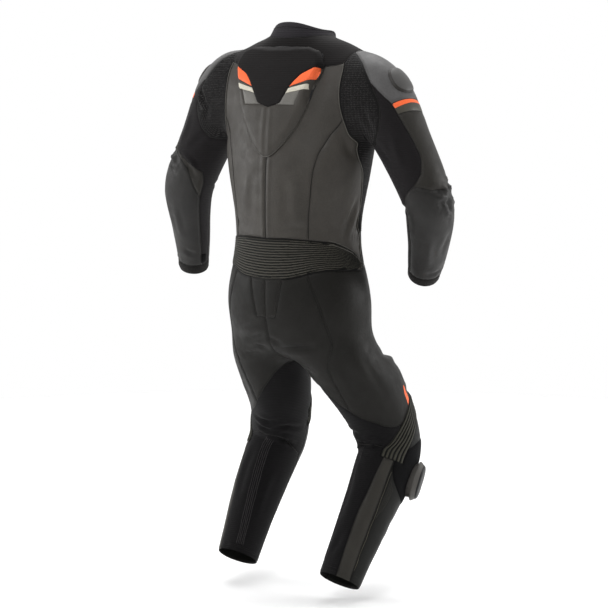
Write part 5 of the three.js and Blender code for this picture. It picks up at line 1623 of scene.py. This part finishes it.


# Piping on the hump's lower and top edges and on the two ends of the belt's top edge, in lighter leather:
# raised piping that carries a painted highlight along these edges.
made = []
for title, way, level in (("hump_shell", -1, -40), ("hump_insert", 1, -30)):
    for panel in panels[title]:
        for run in panel.loops():
            line, normals = edge_line(panel, run, 0.9, 3)
            kept = np.concatenate([[0], ((line[:, 2] - level) * way > 0).astype(int), [0]])
            line, normals = laid_on(trees[title], line, normals)
            turn = np.flatnonzero(np.diff(kept))
            made += [tube(line[a:b], normals[a:b], 0.55, 6, 0.15) for a,
                     b in zip(turn[::2], turn[1::2]) if b - a > 4]
small_part("hump_piping", made, "welt")
for side, letter in SIDES:
    made = []
    for shift in (3.4, -4.5):
        marks = [(a, read(BELT_TOP, a) + shift) for a in range(60, 110, 4)]
        made.append(cord(T, side, marks, 3, 0.9, 8, 0.15))
    small_part(f"belt_end_piping_{letter}", made, "welt")

# Pin tucks down the stretch calves.
TUCKS = 5
for side, letter in SIDES:
    made = []
    for k in range(TUCKS):
        marks = [(98 + 4.3 * k, -938 - 3 * k), (103 + 4.4 * k, -1010), (110 + 4.5 * k, -1120),
                 (116 + 4.6 * k, -1243)]
        made.append(cord(LEGS, side, marks, 4, 1.0, 8, 0.15))
    small_part(f"calf_tucks_{letter}", made, "tuck")

# One sewn line beside the strip on each shin, and a fan of fine cords below the knee grip.
for side, letter in SIDES:
    made = []
    fan = [(-8 - 2.6 * n, -1050 - 4 * n, -1150 + 8 * n) for n in range(5)]
    for k, (shift, top, low) in enumerate([(-3, -1035, -1250)] + fan):
        heights = np.linspace(top, low, 8)
        sway = 0 if k == 0 else 6
        marks = [(read(STRIP_FRONT, h) + shift + sway * ((h - top) / (low - top)) ** 2, h) for h in heights]
        made.append(cord(LEGS, side, marks, 4, 0.35 if k else 0.4, 6, 0.1))
    small_part(f"shin_lines_{letter}", made[:1], "pale thread")
    small_part(f"shin_cords_{letter}", made[1:], "cord")


def ring_rows(part, side, level):
    """A row of stitches round a sleeve or leg at one level."""
    rows = []
    for half in (BACK, FRONT):
        line, normals = skin.path(part, side, half, [(a, level) for a in range(0, 181, 15)], STITCH["pitch"])
        line, normals = laid_on(whole, line, normals, 0.1)
        rows.append(stitches(line, normals))
    return rows


for side, letter in SIDES:
    hem = LEG[side][-1][2]
    made = ring_rows(LEGS, side, hem + 9) + ring_rows(LEGS, side, hem + 12.5)
    small_part(f"hem_stitching_{letter}", made, "thread")
    end = ARM_ENDS[side]
    made = ring_rows(ARMS, side, end - 5) + ring_rows(ARMS, side, end - 23)
    small_part(f"cuff_stitching_{letter}", made, "thread")

# Collar: a bound top edge.
made = []
for side in (0, 1):
    line, normals = skin.path(T, side, TRUNK, [(a, 58) for a in range(0, 175, 6)], 3)
    line, normals = laid_on(whole, line, normals)
    made.append(tube(line, normals, 0.8, 8, 0.1))
small_part("collar_binding", made, "binding")


def on_skin(p, n):
    hit, _, _, _ = whole.ray_cast(Vector(p + n * 60), Vector(-n), 160)
    return np.array(hit) if hit is not None else p


OVAL = 72                 # points round a shield


def shield(title, centre, out, up, size, profile, follow, finish, face_from=None, face_finish=None):
    """A hard oval shield whose foot lies on the leather; its profile gives scale and height."""
    n = unit(out)
    y = unit(up - np.dot(up, n) * n)
    x = np.cross(y, n)
    t = np.arange(OVAL) / OVAL * 2 * math.pi
    bow = np.stack([np.sign(np.cos(t)) * np.abs(np.cos(t)) ** 0.85 * size[0],
                    np.sign(np.sin(t)) * np.abs(np.sin(t)) ** 0.85 * size[1]], 1)

    def ring(scale):
        return centre + bow[:, :1] * scale * x + bow[:, 1:] * scale * y

    def seated(scale):
        return np.array([on_skin(p, n) for p in ring(scale)])

    rows = [seated(0.5) + n * 0.4, seated(profile[0][0]) + n * 0.4]
    for scale, height in profile:
        rows.append(seated(scale) + n * (0.4 + height) if follow else ring(scale) + n * height)
    points = np.concatenate(rows)
    ids = np.arange(len(points)).reshape(len(rows), OVAL)
    quads = np.stack([ids[:-1], np.roll(ids[:-1], -1, 1), np.roll(ids[1:], -1, 1), ids[1:]], -1).reshape(-1,
                                                                                                         4)
    polys = [quads, ids[-1:], ids[:1, ::-1]]
    colours = np.zeros(sum(len(p) for p in polys), int)
    if face_from:
        colours[OVAL * face_from:len(quads) + 1] = 1
    obj = mesh_object(title + "_moulding", points, polys, finish, True, colours, face_finish)
    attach(obj, "suit")
    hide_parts(title)


def limb_frame(table, index, turn, sign):
    r = np.array(table[index][:3], float)
    along = unit(np.array(table[index + 1][:3], float) - np.array(table[index - 1][:3], float))
    u = unit(np.array((1, 0, 0)) - along[0] * along)
    v = np.cross(u, along)
    out = u * math.cos(math.radians(turn)) + v * math.sin(math.radians(turn))
    flip = np.array((sign, 1, 1))
    return r * flip, out * flip, along * flip


SLIDER = [(0.9, 4.5), (1, 6), (1.03, 8), (1.02, 10), (0.98, 12.5), (0.93, 15.5), (0.89, 18.4), (0.86, 20.4),
          (0.82, 22), (0.72, 23.2), (0.45, 23.9), (0.2, 24.2)]
CUP = [(1.06, 0.3), (1.05, 1.2), (1.02, 2.2), (0.985, 3.6), (0.95, 4.6), (0.9, 5.3), (0.84, 5.9),
       (0.66, 6.9), (0.45, 7.5), (0.2, 7.8)]
for side, sign, letter in ((0, 1, "l"), (1, -1, "r")):
    centre, out, along = limb_frame(LEG[side], 8, -27, sign)
    spot = on_skin(centre + along * 14 + out * 90, out)
    shield(f"knee_slider_{letter}", spot, out, -along, SLIDER_SIZE, SLIDER, False, "slider", 8, "slider face")
    inside = np.array((sign * 212.0, -12, -145))
    way = unit((sign * 0.73, -0.02, 0.68))
    spot = on_skin(inside + way * 160, way)
    shield(f"shoulder_cup_{letter}", spot, way, np.array((sign * -0.6, 0, 0.8)), CUP_SIZE, CUP, True, "cup",
           6,
           "cup face")


def block(centre, x, y, z, size):
    """A small box about a point."""
    corners = [(i, j, k) for k in (-1, 1) for j in (-1, 1) for i in (-1, 1)]
    P = np.array([centre + x * i * size[0] / 2 + y * j * size[1] / 2 + z * k * size[2] / 2 for i, j,
                  k in corners])
    quads = np.array([(0, 2, 3, 1), (4, 5, 7, 6), (0, 1, 5, 4), (2, 6, 7, 3), (0, 4, 6, 2), (1, 3, 7, 5)])
    return P, [quads]


# Zip teeth below the slider, turn and turn about.
ZIP_PITCH = 1.4
line, normals = skin.path(T, 0, TRUNK, [(180, h) for h in range(-18, -641, -14)], ZIP_PITCH)
line, normals = laid_on(trees["zip_tape"], line, normals, 0.5)
made = []
for k, (p, n) in enumerate(zip(line, normals)):
    down = unit(line[min(k + 1, len(line) - 1)] - line[max(k - 1, 0)])
    across = np.cross(n, down)
    made.append(block(p + across * (0.9 if k % 2 else -0.9), across, down, n, (3.0, 1.0, 1.5)))
small_part("zip_teeth", made, "tooth")

# Strap end at the left wrist.
p, n = skin.find(ARMS, 0, BACK, 176, 512)
p = on_skin(p, n)
down = unit(np.array(ARM[0][-1][:3], float) - np.array(ARM[0][-2][:3], float))
down = unit(down - np.dot(down, n) * n)
strap = small_part("wrist_strap", [block(p + n * 1.6, np.cross(n, down), down, n, (12.0, 24.0, 2.4))], "hook")
rounding = strap.modifiers.new("rounding", "BEVEL")
rounding.width, rounding.segments = 1.0 * MM, 3

# Camera, floor and light.
AZIMUTH, ELEVATION, AWAY = math.radians(218), math.radians(7), 5.2
MIDDLE = Vector((0, 0, -0.614))
back = Vector((math.sin(AZIMUTH) * math.cos(ELEVATION), -math.cos(AZIMUTH) * math.cos(ELEVATION),
               math.sin(ELEVATION)))
right = (-back).cross(Vector((0, 0, 1))).normalized()
up = right.cross(-back)
aim = MIDDLE + right * 0.0097 - up * 0.0024
camera_data = bpy.data.cameras.new("camera")
camera_data.lens, camera_data.sensor_width = 127.2, 36
camera = bpy.data.objects.new("camera", camera_data)
camera.location = aim + back * AWAY
camera.rotation_euler = back.to_track_quat("Z", "Y").to_euler()
link(camera)
bpy.context.scene.camera = camera

FLOOR, FLOOR_RADIUS = -1.32, 3.0
floor_mesh = bpy.data.meshes.new("floor")
FLOOR_CORNERS = 96
turns = [k * math.tau / FLOOR_CORNERS for k in range(FLOOR_CORNERS)]
floor_mesh.from_pydata([(FLOOR_RADIUS * math.cos(t), FLOOR_RADIUS * math.sin(t), FLOOR) for t in turns], [],
                       [tuple(range(FLOOR_CORNERS))])
floor = bpy.data.objects.new("floor", floor_mesh)
floor.data.materials.append(plain("white paper floor", "#fbfbfb", 0.95))
link(floor)

# The studio is white behind the suit and dimmer on the camera's side, so that dark leather keeps its depth.
world = bpy.data.worlds.new("studio")
world.use_nodes = True
nodes, links = world.node_tree.nodes, world.node_tree.links
where = nodes.new("ShaderNodeTexCoord")
facing = nodes.new("ShaderNodeVectorMath")
facing.operation = "DOT_PRODUCT"
facing.inputs[1].default_value = (-math.sin(AZIMUTH), math.cos(AZIMUTH), 0)
spread = nodes.new("ShaderNodeMapRange")
spread.interpolation_type = "SMOOTHSTEP"
for key, value in (("From Min", 0.25), ("From Max", 0.85), ("To Min", 0.32), ("To Max", 1.0)):
    spread.inputs[key].default_value = value
links.new(where.outputs["Generated"], facing.inputs[0])
links.new(facing.outputs["Value"], spread.inputs["Value"])
links.new(spread.outputs["Result"], nodes["Background"].inputs["Strength"])
nodes["Background"].inputs["Color"].default_value = (1, 1, 1, 1)
bpy.context.scene.world = world
bpy.context.scene.view_settings.view_transform = "Standard"


def area_light(title, azimuth, elevation, distance, size, power):
    a, e = math.radians(azimuth), math.radians(elevation)
    way = Vector((math.sin(a) * math.cos(e), -math.cos(a) * math.cos(e), math.sin(e)))
    data = bpy.data.lights.new(title, "AREA")
    data.size, data.energy = size, power
    obj = bpy.data.objects.new(title, data)
    obj.location = MIDDLE + way * distance
    obj.rotation_euler = way.to_track_quat("Z", "Y").to_euler()
    link(obj)


area_light("key", 190, 40, 3.4, 1.4, 46)
area_light("right_edge", 312, 12, 3.0, 1.2, 50)
area_light("left_edge", 120, 10, 3.0, 1.2, 38)
area_light("overhead", 38, 75, 4.5, 4.0, 220)
